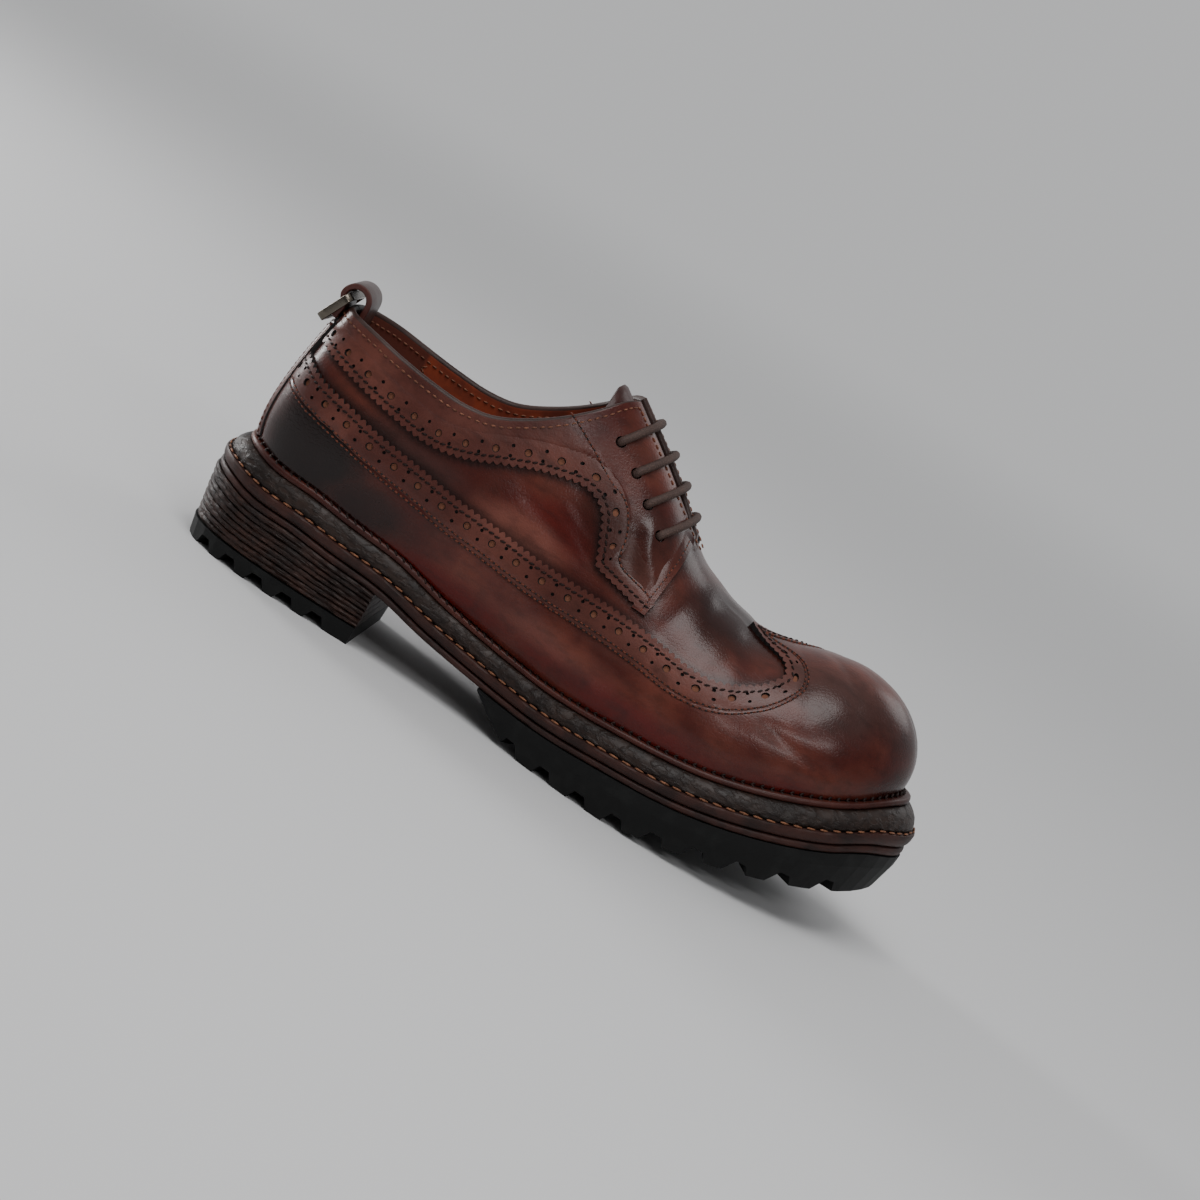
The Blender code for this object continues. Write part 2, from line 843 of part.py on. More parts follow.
def make_tongue(shop):
    """Tongue under the facings, from the vamp to its free end above them."""
    shares = [s for s in np.linspace(0.3, 0.7, 161)]
    places = [ridge_point(s)[0] for s in shares]
    ends = np.interp([TONGUE_TOP, TONGUE_START], places, shares)
    bm = bmesh.new()
    across = 5
    for side in (-1, 1):
        columns = []
        for share in np.linspace(ends[0], ends[1], 15):
            rib = Rib(share, side)
            low = rib.find(lambda p: TONGUE_HALF_WIDTH - abs(p.y - rib.ridge[1]))
            heights = np.linspace(low, 1.0, across + 1)
            columns.append([bm.verts.new(rib.point(h)) for h in heights])
        grid_faces(bm, columns, flip=side > 0)
    weld_points(bm)
    bmesh.ops.triangulate(bm, faces=bm.faces, quad_method="FIXED")
    shift_surface(bm, -(UPPER_WALL + TONGUE_GAP))
    thicken(bm, -TONGUE_WALL)
    return shop.add("tongue", bm, "upper_leather")


def plate_rungs(inset, start, end):
    """Pairs of outline points, medial and lateral, between two places along the shoe.

    A place of None means the whole way to that end, where the pair is one point.
    """
    shares = station_shares(STATIONS, END_CROWDING)
    dense = np.linspace(0.0, 1.0, 400)
    sides = {}
    for side in (-1, 1):
        places = [outline_point(s, side, inset(s, side))[0] for s in dense]
        low = 0.0 if start is None else float(np.interp(start, places, dense))
        high = 1.0 if end is None else float(np.interp(end, places, dense))
        spare = 0.35 / STATIONS
        inner = [s for s in shares if low + spare < s < high - spare]
        sides[side] = (low, high, inner)
    inner = [s for s in sides[-1][2] if s in sides[1][2]]
    rungs = []
    for k, share in enumerate([None] + inner + [None]):
        pair = []
        for side in (-1, 1):
            low, high, _ = sides[side]
            place = share
            if place is None:
                place = low if k == 0 else high
            x, y = outline_point(place, side, inset(place, side))
            if k == 0 and start is not None:
                x = start
            if k > 0 and share is None and end is not None:
                x = end
            pair.append((x, y))
        rungs.append(pair)
    return rungs


def plate(levels, start=None, end=None):
    """Closed plate of the sole: levels are (inset, height) functions from bottom to top."""
    bm = bmesh.new()
    rings = []
    for inset, height in levels:
        rungs = plate_rungs(inset, start, end)
        left = [bm.verts.new((x, y, height(x))) for (x, y), _ in rungs]
        right = [bm.verts.new((x, y, height(x))) for _, (x, y) in rungs]
        if start is None:
            bmesh.ops.pointmerge(bm, verts=[left[0], right[0]], merge_co=left[0].co)
            right[0] = left[0]
        if end is None:
            bmesh.ops.pointmerge(bm, verts=[left[-1], right[-1]], merge_co=left[-1].co)
            right[-1] = left[-1]
        rings.append((left, right))
    for left, right in (rings[0], rings[-1]):
        for k in range(len(left) - 1):
            corners = [left[k], left[k + 1], right[k + 1], right[k]]
            bm.faces.new(list(dict.fromkeys(corners)))
    for (left, right), (left_up, right_up) in zip(rings, rings[1:]):
        for k in range(len(left) - 1):
            bm.faces.new((left[k], left[k + 1], left_up[k + 1], left_up[k]))
            bm.faces.new((right[k], right[k + 1], right_up[k + 1], right_up[k]))
        if start is not None:
            bm.faces.new((left[0], right[0], right_up[0], left_up[0]))
        if end is not None:
            bm.faces.new((left[-1], right[-1], right_up[-1], left_up[-1]))
    face_outwards(bm)
    bmesh.ops.triangulate(bm, faces=bm.faces)
    return bm


def even_inset(distance):
    """The same inset all round."""
    return lambda share, side: distance


def welt_share(fraction, extra=0.0):
    """An inset that is a share of the welt width, plus a distance."""
    return lambda share, side: fraction * welt_width(share, side) + extra


def at_depth(depth, lift=0.0):
    """Height function of a surface a depth of layers below the feather line."""
    return lambda x: layer_height(x, depth) + lift


def make_sole_layers(shop):
    """Runner, midsole and burnished top midsole, each the full length of the shoe."""
    shop.add("runner", plate((
        (even_inset(1.0), at_depth(RUNNER_BASE)),
        (even_inset(0.7), at_depth(MIDSOLE_BASE, -FIT)),
    )), "edge_brown")
    shop.add("midsole", plate((
        (even_inset(1.2), at_depth(MIDSOLE_BASE)),
        (even_inset(0.0), at_depth(MIDSOLE_BASE - MIDSOLE * 0.3)),
        (even_inset(0.0), at_depth(TOP_MIDSOLE_BASE, -FIT)),
    )), "edge_brown")
    shop.add("top_midsole", plate((
        (even_inset(2.0), at_depth(TOP_MIDSOLE_BASE)),
        (welt_share(0.22), at_depth(TOP_MIDSOLE_BASE - TOP_MIDSOLE * 0.45)),
        (welt_share(0.52), at_depth(RAND_BASE, -FIT)),
    )), "edge_grey")


def make_rand(shop):
    """Storm rand: a welt strip round the upper, standing on the top midsole."""
    section = (                  # share of the welt width, extra inset, depth, extra height
        (0.60, 0.0, RAND_BASE, FIT),
        (0.60, 0.0, RAND_BASE * 0.35, 0.0),
        (0.76, 0.0, 0.0, 0.0),
        (1.00, UPPER_WALL + 0.1, 0.0, 0.0),
        (1.00, UPPER_WALL + 0.1, RAND_BASE, FIT),
    )
    shares = station_shares(STATIONS, END_CROWDING)
    route = [(s, -1) for s in shares] + [(s, 1) for s in reversed(shares[1:-1])]
    bm = bmesh.new()
    rings = []
    for share, side in route:
        ring = []
        for fraction, extra, depth, lift in section:
            x, y = outline_point(share, side, fraction * welt_width(share, side) + extra)
            ring.append(bm.verts.new((x, y, layer_height(x, depth) + lift)))
        rings.append(ring)
    for k, ring in enumerate(rings):
        after = rings[(k + 1) % len(rings)]
        for j in range(len(ring)):
            i = (j + 1) % len(ring)
            bm.faces.new((ring[j], after[j], after[i], ring[i]))
    face_outwards(bm)
    bmesh.ops.triangulate(bm, faces=bm.faces)
    return shop.add("storm_rand", bm, "rand_red")


def make_insole(shop):
    """Insole inside the rand, on the top midsole."""
    edge = welt_share(1.0, UPPER_WALL + INSOLE_CLEARANCE)
    bottom = at_depth(RAND_BASE, FIT)
    return shop.add(
        "insole",
        plate(((edge, bottom), (edge, lambda x: bottom(x) + INSOLE_THICK))),
        "lining",
    )


def heel_inset(z):
    """How far the heel draws in at a height."""
    top = layer_height(along(0.1), RUNNER_BASE)
    return HEEL_TAPER * (1 - z / top)


def make_heel(shop):
    """Rubber top piece and leather lifts, each with a fine step to the next."""
    breast = along(0.0) + HEEL_LENGTH
    top_inset = heel_inset(HEEL_TOP_PIECE)

    def lift_surface(k):
        share = k / LIFT_COUNT
        return lambda x: HEEL_TOP_PIECE + share * (
            layer_height(x, RUNNER_BASE) - HEEL_TOP_PIECE
        )

    for k in range(LIFT_COUNT):
        low = lift_surface(k)
        high = lift_surface(k + 1)
        middle = along(0.1)
        inset_low = even_inset(heel_inset(low(middle)) + 0.5)
        inset_mid = even_inset(heel_inset((low(middle) + high(middle)) / 2))
        inset_high = even_inset(heel_inset(high(middle)) + 0.5)
        item = plate((
            (inset_low, lambda x, low=low: low(x)),
            (inset_mid, lambda x, low=low, high=high: (low(x) + high(x) - FIT) / 2),
            (inset_high, lambda x, high=high: high(x) - FIT),
        ), end=breast)
        shop.add("heel_lift_%d" % (k + 1), item, "edge_brown")
    piece = shop.add(
        "heel_top_piece",
        plate((
            (even_inset(HEEL_TAPER + 0.4), lambda x: 0.0),
            (even_inset(top_inset), lambda x: HEEL_TOP_PIECE - FIT),
        ), end=breast),
        "rubber",
    )
    first = along(0.0) + HEEL_NOTCH_PITCH * 0.9
    spots = [first + k * HEEL_NOTCH_PITCH for k in range(HEEL_NOTCH_COUNT)]
    cutter = shop.cutter("heel_notches", notch_wedges(spots, lambda x: 0.0))
    boolean(piece, cutter, "DIFFERENCE", crossing=True)


def notch_wedges(spots, ground):
    """Wedges that cut the tread from both sides at places along the shoe."""
    bm = bmesh.new()
    dense = np.linspace(0.0, 1.0, 400)
    for side in (-1, 1):
        places = [outline_point(s, side, 0.0)[0] for s in dense]
        for spot in spots:
            share = float(np.interp(spot, places, dense))
            outer = Vector((*outline_point(share, side, -6.0), 0.0))
            inner = Vector((*outline_point(share, side, LUG_LENGTH), 0.0))
            run = (outer - inner).normalized()
            turn = Vector((-run.y, run.x, 0.0))
            ends = []
            for place in (inner, outer):
                root = ground(spot) + LUG_DEPTH
                ends.append([
                    place + turn * NOTCH_MOUTH * 0.74 + Vector((0, 0, root - LUG_DEPTH - 3.0)),
                    place + turn * NOTCH_ROOT / 2 + Vector((0, 0, root)),
                    place - turn * NOTCH_ROOT / 2 + Vector((0, 0, root)),
                    place - turn * NOTCH_MOUTH * 0.74 + Vector((0, 0, root - LUG_DEPTH - 3.0)),
                ])
            near = [bm.verts.new(p) for p in ends[0]]
            far = [bm.verts.new(p) for p in ends[1]]
            close_prism(bm, near, far)
    return bm


def make_outsole(shop):
    """Forefoot rubber with toe spring, edge lugs and a row of cross bars between them."""
    item = shop.add(
        "outsole",
        plate((
            (even_inset(3.4), tread_height),
            (even_inset(0.8), lambda x: (tread_height(x) + 2 * at_depth(RUNNER_BASE)(x)) / 3),
            (even_inset(0.5), at_depth(RUNNER_BASE, -FIT)),
        ), start=TREAD_START),
        "rubber",
    )
    spots = [FIRST_NOTCH + k * LUG_PITCH for k in range(LUG_COUNT)]
    cutter = shop.cutter("forefoot_notches", notch_wedges(spots, tread_height))
    boolean(item, cutter, "DIFFERENCE", crossing=True)
    bars = bmesh.new()
    for spot in spots[:-2]:
        middle = (outline_point_at(spot, -1)[1] + outline_point_at(spot, 1)[1]) / 2
        width = (outline_point_at(spot, 1)[1] - outline_point_at(spot, -1)[1]) - 2 * LUG_LENGTH - 16
        box = bmesh.ops.create_cube(bars, size=1.0)["verts"]
        size = Matrix.Diagonal((NOTCH_ROOT, width, 2 * LUG_DEPTH - 1.0, 1.0))
        place = Matrix.Translation((spot + LUG_PITCH / 2, middle, tread_height(spot + LUG_PITCH / 2)))
        bmesh.ops.transform(bars, matrix=place @ size, verts=box)
    boolean(item, shop.cutter("forefoot_grooves", bars), "DIFFERENCE")
    return item


def outline_point_at(x, side):
    """Point of the outline's side at a place along the shoe."""
    even, places, _ = SIDES[side]
    y = np.interp(x, places[:, 0], places[:, 1])
    return x, float(y)


def surface_tree(distance):
    """Search tree of the upper's outer face, moved out by distance."""
    bm = upper_surface(distance)
    bmesh.ops.holes_fill(bm, edges=bm.edges, sides=200)
    tree = BVHTree.FromBMesh(bm)
    bm.free()
    return tree


def eyelet_places(tree):
    """Place and outward direction of each eyelet, for both sides."""
    places = []
    for x, z in EYELETS:
        row = {}
        for side in (-1, 1):
            hit, normal, _, _ = tree.ray_cast(Vector((x, side * 90.0, z)), Vector((0, -side, 0)))
            row[side] = (hit, normal)
        places.append(row)
    return places


def cut_eyelets(shop, places, upper, facings):
    """Punch the lace holes through facings and upper."""
    for side in (-1, 1):
        bm = bmesh.new()
        for row in places:
            hit, normal = row[side]
            turn = normal.to_track_quat("Z", "Y").to_matrix().to_4x4()
            bmesh.ops.create_cone(
                bm, cap_ends=True, segments=10, radius1=EYELET_RADIUS, radius2=EYELET_RADIUS,
                depth=12.0, matrix=Matrix.Translation(hit) @ turn,
            )
        cutter = shop.cutter("eyelets_%s" % ("medial" if side < 0 else "lateral"), bm)
        boolean(facings[side], cutter, "DIFFERENCE")
        boolean(upper, cutter, "DIFFERENCE")


def make_lace_bars(shop, places, tree):
    """A straight bar of lace over each pair of eyelets, clear of the facings."""
    down = Vector((LACE_SLOPE[1], 0.0, -LACE_SLOPE[0]))
    clear = LACE_RADIUS + LACE_CLEARANCE
    for k, row in enumerate(places):
        start = row[-1][0]
        end = row[1][0]
        points = []
        count = 12
        for j in range(count + 1):
            share = j / count
            spot = start.lerp(end, share)
            hit, normal, _, _ = tree.ray_cast(spot - down * 80.0, down)
            points.append(hit + normal * clear)
        name = "lace_bar_%d" % (k + 1)
        shop_tube(shop, name, hull_path(points), LACE_RADIUS, "lace")


def hull_path(points):
    """Raise the middle of a path until it no longer sags between its ends."""
    path = [p.copy() for p in points]
    for _ in range(40):
        for j in range(1, len(path) - 1):
            middle = (path[j - 1] + path[j + 1]) / 2
            if middle.z > path[j].z:
                path[j] = middle
    return path


def shop_tube(shop, name, points, radius, material):
    """A round cord along points, as one closed mesh."""
    curve = bpy.data.curves.new(name, "CURVE")
    curve.dimensions = "3D"
    curve.bevel_depth = radius * MM
    curve.bevel_resolution = 1
    curve.use_fill_caps = True
    spline = curve.splines.new("POLY")
    spline.points.add(len(points) - 1)
    for spot, place in zip(spline.points, points):
        spot.co = (*(place * MM), 1.0)
    return curve_to_part(shop, name, curve, material, Matrix.Identity(4))


def curve_to_part(shop, name, curve, material, place):
    """Make a curve a welded mesh object at a place."""
    source = bpy.data.objects.new(name + "_curve", curve)
    shop.parts.objects.link(source)
    bpy.context.view_layer.update()
    mesh = bpy.data.meshes.new_from_object(source.evaluated_get(bpy.context.evaluated_depsgraph_get()))
    bpy.data.objects.remove(source, do_unlink=True)
    bm = bmesh.new()
    bm.from_mesh(mesh)
    bpy.data.meshes.remove(mesh)
    bmesh.ops.remove_doubles(bm, verts=bm.verts, dist=0.00001)
    face_outwards(bm)
    bmesh.ops.transform(bm, matrix=place, verts=bm.verts)
    bmesh.ops.scale(bm, vec=(1 / MM, 1 / MM, 1 / MM), verts=bm.verts)
    return shop.add(name, bm, material)


def rounded_outline(width, height, corner, steps=4):
    """Corner-rounded rectangle about the origin."""
    points = []
    for k, (sx, sy) in enumerate(((1, 1), (-1, 1), (-1, -1), (1, -1))):
        centre = ((width / 2 - corner) * sx, (height / 2 - corner) * sy)
        for j in range(steps + 1):
            angle = math.pi / 2 * (k + j / steps)
            points.append((centre[0] + corner * math.cos(angle), centre[1] + corner * math.sin(angle)))
    return points


def flat_curve(name, outlines, half_depth):
    """A filled flat outline with a depth."""
    curve = bpy.data.curves.new(name, "CURVE")
    curve.dimensions = "2D"
    curve.fill_mode = "BOTH"
    curve.extrude = half_depth * MM
    for outline in outlines:
        spline = curve.splines.new("POLY")
        spline.points.add(len(outline) - 1)
        for spot, (x, y) in zip(spline.points, outline):
            spot.co = (x * MM, y * MM, 0.0, 1.0)
        spline.use_cyclic_u = True
    return curve


def heel_back(z):
    """X of the upper's outer face on the centre line of the heel at a height."""
    rib = Rib(0.0, -1)
    return rib.point(rib.find(lambda p: p.z - z)).x


class PullLoop:
    """Places of the pull loop and of the ring that hangs in it."""

    def __init__(self):
        self.topline = collar_height(heel_back(COLLAR_HEIGHT))
        self.crown = self.topline + LOOP_RISE
        self.tail_low = STRAP_TOP * COLLAR_HEIGHT + 0.4
        self.tail_high = self.tail_low + LOOP_TAIL
        self.skin = FIT + OVERLAY + FIT
        self.inner = heel_back(self.topline) + UPPER_WALL + 2.4
        self.outer = self.inner - LOOP_INSIDE
        radius = LOOP_INSIDE / 2
        self.pivot_x = self.inner - radius - 1.9
        self.pivot_z = self.crown - LOOP_THICK - radius + 0.6

    def centreline(self):
        """Middle of the strip in the side view, from the heel over the top to the inside."""
        half = LOOP_THICK / 2
        low = (heel_back(self.tail_low) - self.skin - half, self.tail_low)
        high = (heel_back(self.tail_high) - self.skin - half - 0.3, self.tail_high)
        radius = (LOOP_INSIDE + LOOP_THICK) / 2
        centre = (self.inner - LOOP_INSIDE / 2, self.crown - half - radius)
        arch = []
        for k in range(11):
            angle = math.pi * (1 - k / 10)
            arch.append((centre[0] + radius * math.cos(angle), centre[1] + radius * math.sin(angle)))
        inside = (self.inner + half, self.topline - 8.0)
        return [low, high] + arch + [inside]


def make_pull_loop(shop, loop):
    """Leather strip bent over the heel of the collar."""
    path = [Vector(p) for p in loop.centreline()]
    left = []
    right = []
    for k, spot in enumerate(path):
        before = path[max(0, k - 1)]
        after = path[min(len(path) - 1, k + 1)]
        run = (after - before).normalized()
        side = Vector((-run.y, run.x)) * LOOP_THICK / 2
        left.append(tuple(spot + side))
        right.append(tuple(spot - side))
    curve = flat_curve("pull_loop", [left + right[::-1]], LOOP_WIDTH / 2)
    stand = Matrix.Rotation(math.pi / 2, 4, "X")
    middle = Matrix.Translation((0.0, HEEL_CENTRE * MM, 0.0))
    return curve_to_part(shop, "pull_loop", curve, "upper_leather", middle @ stand)


def make_heel_ring(shop, loop):
    """Rounded oblong ring bent from a flat bar, hung in the loop."""
    outer = rounded_outline(RING_LENGTH, RING_DROP, RING_CORNER)
    inner = rounded_outline(
        RING_LENGTH - 2 * RING_BAR, RING_DROP - 2 * RING_BAR, RING_CORNER - RING_BAR
    )
    curve = flat_curve("heel_ring", [outer, inner], RING_DEPTH / 2)
    drop = Matrix.Translation((0.0, -(RING_DROP - RING_BAR) / 2 * MM, 0.0))
    upright = Matrix(((0, 0, 1, 0), (1, 0, 0, 0), (0, 1, 0, 0), (0, 0, 0, 1)))
    lean = Matrix.Rotation(math.radians(RING_TILT), 4, "Y")
    item = curve_to_part(shop, "heel_ring", curve, "gunmetal", lean @ upright @ drop)
    item.location = (loop.pivot_x * MM, HEEL_CENTRE * MM, loop.pivot_z * MM)
    return item


def main():
    """Build the shoe."""
    clear_scene()
    shop = Workshop()
    make_outsole(shop)
    make_heel(shop)
    make_sole_layers(shop)
    make_rand(shop)
    make_insole(shop)
    upper = make_upper(shop)
    make_tongue(shop)
    make_wing_cap(shop)
    facings = make_facings(shop)
    make_heel_strap(shop)
    tree = surface_tree(FIT + OVERLAY)
    places = eyelet_places(tree)
    cut_eyelets(shop, places, upper, facings)
    make_lace_bars(shop, places, tree)
    loop = PullLoop()
    make_pull_loop(shop, loop)
    make_heel_ring(shop, loop)


main()
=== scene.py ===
"""Looks of a longwing brogue derby, left shoe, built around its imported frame.

The shoe stands on the ground with its toe along +X and its medial side along -Y. Sizes in the
classes below are millimetres; a mesh becomes metres when it is finished.
"""

import logging
import math
from collections.abc import Callable, Iterable, Sequence
from dataclasses import dataclass, field, replace
from enum import Enum
from functools import partial

import bmesh
import bpy
import numpy as np
from mathutils import Matrix, Vector
from mathutils.bvhtree import BVHTree
from mathutils.kdtree import KDTree


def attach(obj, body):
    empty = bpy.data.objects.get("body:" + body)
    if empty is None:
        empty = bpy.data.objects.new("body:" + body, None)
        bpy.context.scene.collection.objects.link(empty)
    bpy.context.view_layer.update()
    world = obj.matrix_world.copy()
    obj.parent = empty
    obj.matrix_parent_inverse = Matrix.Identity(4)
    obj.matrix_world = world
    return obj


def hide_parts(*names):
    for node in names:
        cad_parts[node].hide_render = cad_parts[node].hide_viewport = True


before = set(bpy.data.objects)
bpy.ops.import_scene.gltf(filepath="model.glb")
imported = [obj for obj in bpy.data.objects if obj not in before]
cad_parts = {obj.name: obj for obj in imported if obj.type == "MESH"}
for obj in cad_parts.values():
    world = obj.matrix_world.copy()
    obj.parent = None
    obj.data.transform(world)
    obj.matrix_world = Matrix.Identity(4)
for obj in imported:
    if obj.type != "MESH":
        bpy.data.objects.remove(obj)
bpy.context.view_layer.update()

LOG = logging.getLogger("brogue_shoe")
MM = 0.001
FIT = 0.3
# mesh attribute that carries the painted shade at the foot of overlay edges
SEAM_SHADE_LAYER = "seam"
Rows = Sequence[Sequence[float]]
Height = Callable[[np.ndarray], np.ndarray]


class Side(Enum):
    """The two sides of the shoe, by the sign of Y."""

    MEDIAL = -1
    LATERAL = 1


class Body(Enum):
    """Bodies that the pieces ride on."""

    SHOE = "shoe"
    RING = "ring"


def read_rows(rows: Rows, column: int, at: np.ndarray) -> np.ndarray:
    """Smooth value of a table's column, straight beyond its ends.

    Args:
        rows: table whose first column rises.
        column: column to read.
        at: places in the first column.

    Returns:
        One value per place.
    """
    at = np.asarray(at, float)
    xs = np.array([row[0] for row in rows], float)
    ys = np.array([row[column] for row in rows], float)
    widths = np.diff(xs)
    steps = np.diff(ys) / widths
    inner = (steps[:-1] * widths[1:] + steps[1:] * widths[:-1]) / (xs[2:] - xs[:-2])
    slopes = np.concatenate(([steps[0]], inner, [steps[-1]]))
    k = np.clip(np.searchsorted(xs, at) - 1, 0, len(xs) - 2)
    s = np.clip((at - xs[k]) / widths[k], 0.0, 1.0)
    value = ys[k] * (1 + 2 * s) * (1 - s) ** 2 + ys[k + 1] * s * s * (3 - 2 * s)
    value = value + widths[k] * (slopes[k] * s * (1 - s) ** 2 + slopes[k + 1] * s * s * (s - 1))
    value = value + np.minimum(at - xs[0], 0.0) * slopes[0]
    return value + np.maximum(at - xs[-1], 0.0) * slopes[-1]


def ease(value: np.ndarray, low: float, high: float) -> np.ndarray:
    """Smooth step from 0 at low to 1 at high."""
    s = np.clip((value - low) / (high - low), 0.0, 1.0)
    return s * s * (3 - 2 * s)


def unit(vectors: np.ndarray) -> np.ndarray:
    """Rows of an array at length 1."""
    return vectors / np.maximum(np.linalg.norm(vectors, axis=-1, keepdims=True), 1e-9)


def run_along(points: np.ndarray) -> np.ndarray:
    """Distance from the start of a line to each of its points."""
    return np.concatenate(([0.0], np.cumsum(np.linalg.norm(np.diff(points, axis=0), axis=1))))


def read_line(points: np.ndarray, run: np.ndarray, at: np.ndarray) -> np.ndarray:
    """Places at distances along a line through points, whose own distances are run."""
    return np.stack([np.interp(at, run, points[:, k]) for k in range(points.shape[1])], axis=1)


def inside(polygon: Sequence[tuple[float, float]], x: np.ndarray, y: np.ndarray) -> np.ndarray:
    """Whether places lie in a polygon.

    Args:
        polygon: corners in order.
        x: first coordinates.
        y: second coordinates.

    Returns:
        One truth value per place.
    """
    hit = np.zeros(x.shape, bool)
    for (x0, y0), (x1, y1) in zip(polygon, list(polygon[1:]) + [polygon[0]]):
        if y0 == y1:
            continue
        crosses = (y0 > y) != (y1 > y)
        hit ^= crosses & (x < (x1 - x0) * (y - y0) / (y1 - y0) + x0)
    return hit


@dataclass(frozen=True)
class ShoeSizes:
    """Driving sizes of the shoe, the same as its frame's."""

    length: float = 310.0
    ball: float = 116.5
    heel_seat: float = 44.5
    ball_height: float = 30.6
    toe_rise: float = 34.0
    instep: float = 134.5
    toe_height: float = 95.0
    collar: float = 108.0
    heel_length: float = 84.0
    wall: float = 2.0
    overlay: float = 1.3
    throat_half_gap: float = 8.0
    throat_bottom: float = 24.0
    throat_back: float = -60.0
    bulge_height: float = 20.0

    @property
    def heel_centre(self) -> float:
        """Y of the heel's middle."""
        return -0.022 * self.ball

    def along(self, share: np.ndarray) -> np.ndarray:
        """X of a share of the length."""
        return (share - 0.5) * self.length

    def share(self, x: np.ndarray) -> np.ndarray:
        """Share of the length of an X."""
        return x / self.length + 0.5


@dataclass
class Footprint:
    """Outline of the outsole and the heights of the layers along it."""

    sizes: ShoeSizes
    outline: Rows = (
        (0.000, 0.000), (0.020, -0.185), (0.078, -0.292), (0.160, -0.324), (0.268, -0.318),
        (0.371, -0.306), (0.468, -0.352), (0.565, -0.430), (0.661, -0.478), (0.758, -0.474),
        (0.848, -0.424), (0.926, -0.322), (0.977, -0.180), (1.000, -0.010), (0.985, 0.150),
        (0.940, 0.300), (0.868, 0.416), (0.771, 0.495), (0.668, 0.522), (0.565, 0.510),
        (0.461, 0.460), (0.355, 0.395), (0.258, 0.358), (0.160, 0.338), (0.078, 0.298),
        (0.020, 0.188),
    )
    toe_row: int = 13
    welt: Rows = (
        (0.00, 11.2, 11.2), (0.10, 8.8, 8.8), (0.22, 7.2, 7.2), (0.38, 6.6, 7.0),
        (0.55, 9.0, 9.0), (0.75, 10.0, 10.0), (0.90, 12.6, 12.6), (1.00, 15.4, 15.4),
    )
    feather_rows: Rows = (
        (0.000, 1.30, 0.000), (0.030, 1.20, 0.000), (0.071, 1.04, 0.000), (0.145, 1.00, 0.000),
        (0.194, 0.89, 0.000), (0.271, 0.74, 0.000), (0.355, 0.32, 0.000), (0.432, 0.10, 0.000),
        (0.519, 0.00, 0.000), (0.626, 0.00, 0.080), (0.748, 0.00, 0.230), (0.832, 0.00, 0.440),
        (0.913, 0.00, 0.720), (0.958, 0.00, 0.930), (1.000, 0.00, 1.020),
    )
    flare: Rows = ((0.00, 1.00), (0.80, 1.00), (0.92, 1.14), (1.00, 1.28))
    samples: int = 1400
    arcs: dict[int, tuple[np.ndarray, np.ndarray, np.ndarray]] = field(default_factory=dict)

    def __post_init__(self) -> None:
        """Measure the two sides from the heel back to the toe tip."""
        per_span = 60
        centre = self.sizes.heel_centre
        knots = np.array([
            (self.sizes.along(x), y * self.sizes.ball + centre) for x, y in self.outline
        ])
        loop = self.closed_curve(knots, per_span)
        toe = self.toe_row * per_span
        arcs = {-1: loop[: toe + 1], 1: np.vstack((loop[toe:], loop[:1]))[::-1]}
        even = np.linspace(0.0, 1.0, self.samples)
        for side, points in arcs.items():
            run = run_along(points)
            run /= run[-1]
            places = read_line(points, run, even)
            ways = unit(np.gradient(places, axis=0))
            outward = np.column_stack((ways[:, 1], -ways[:, 0])) * (-side)
            outward[0] = (-1.0, 0.0)
            outward[-1] = (1.0, 0.0)
            self.arcs[side] = (even, places, outward)

    @staticmethod
    def closed_curve(knots: np.ndarray, per_span: int) -> np.ndarray:
        """Points of the smooth closed curve through knots.

        Args:
            knots: corners of the curve in plan.
            per_span: points from one knot to the next.

        Returns:
            The curve's points, the first not repeated.
        """
        count = len(knots)
        chords = np.linalg.norm(np.roll(knots, -1, axis=0) - knots, axis=1)
        system = np.zeros((count, count))
        right = np.zeros((count, 2))
        for i in range(count):
            before, after = chords[i - 1], chords[i]
            system[i, (i - 1) % count] = after
            system[i, i] = 2 * (before + after)
            system[i, (i + 1) % count] = before
            rise_before = (knots[i] - knots[i - 1]) / before
            rise_after = (knots[(i + 1) % count] - knots[i]) / after
            right[i] = 3 * (after * rise_before + before * rise_after)
        slopes = np.linalg.solve(system, right)
        s = np.linspace(0.0, 1.0, per_span, endpoint=False)[:, None]
        spans = []
        for i in range(count):
            j = (i + 1) % count
            spans.append(
                knots[i] * (1 + 2 * s) * (1 - s) ** 2
                + knots[j] * s * s * (3 - 2 * s)
                + slopes[i] * chords[i] * s * (1 - s) ** 2
                + slopes[j] * chords[i] * s * s * (s - 1)
            )
        return np.vstack(spans)

    def normal(self, share: np.ndarray, side: int) -> np.ndarray:
        """Outward direction of the outline in plan."""
        even, _, outward = self.arcs[side]
        return unit(np.stack([np.interp(share, even, outward[:, k]) for k in (0, 1)], axis=-1))

    def point(self, share: np.ndarray, side: int, inset: np.ndarray) -> np.ndarray:
        """Place in plan on the outline, moved in by inset."""
        even, places, _ = self.arcs[side]
        spot = np.stack([np.interp(share, even, places[:, k]) for k in (0, 1)], axis=-1)
        return spot - self.normal(share, side) * np.asarray(inset)[..., None]

    def share_at(self, x: float, side: int, inset: float = 0.0) -> float:
        """Share of the way round a side at which the moved outline reaches an X."""
        shares = np.linspace(0.0, 1.0, 800)
        return float(np.interp(x, self.point(shares, side, np.full(800, inset))[:, 0], shares))

    def welt_width(self, share: np.ndarray, side: int) -> np.ndarray:
        """Distance from the outsole's edge in to the upper."""
        return read_rows(self.welt, 1 if side < 0 else 2, share)

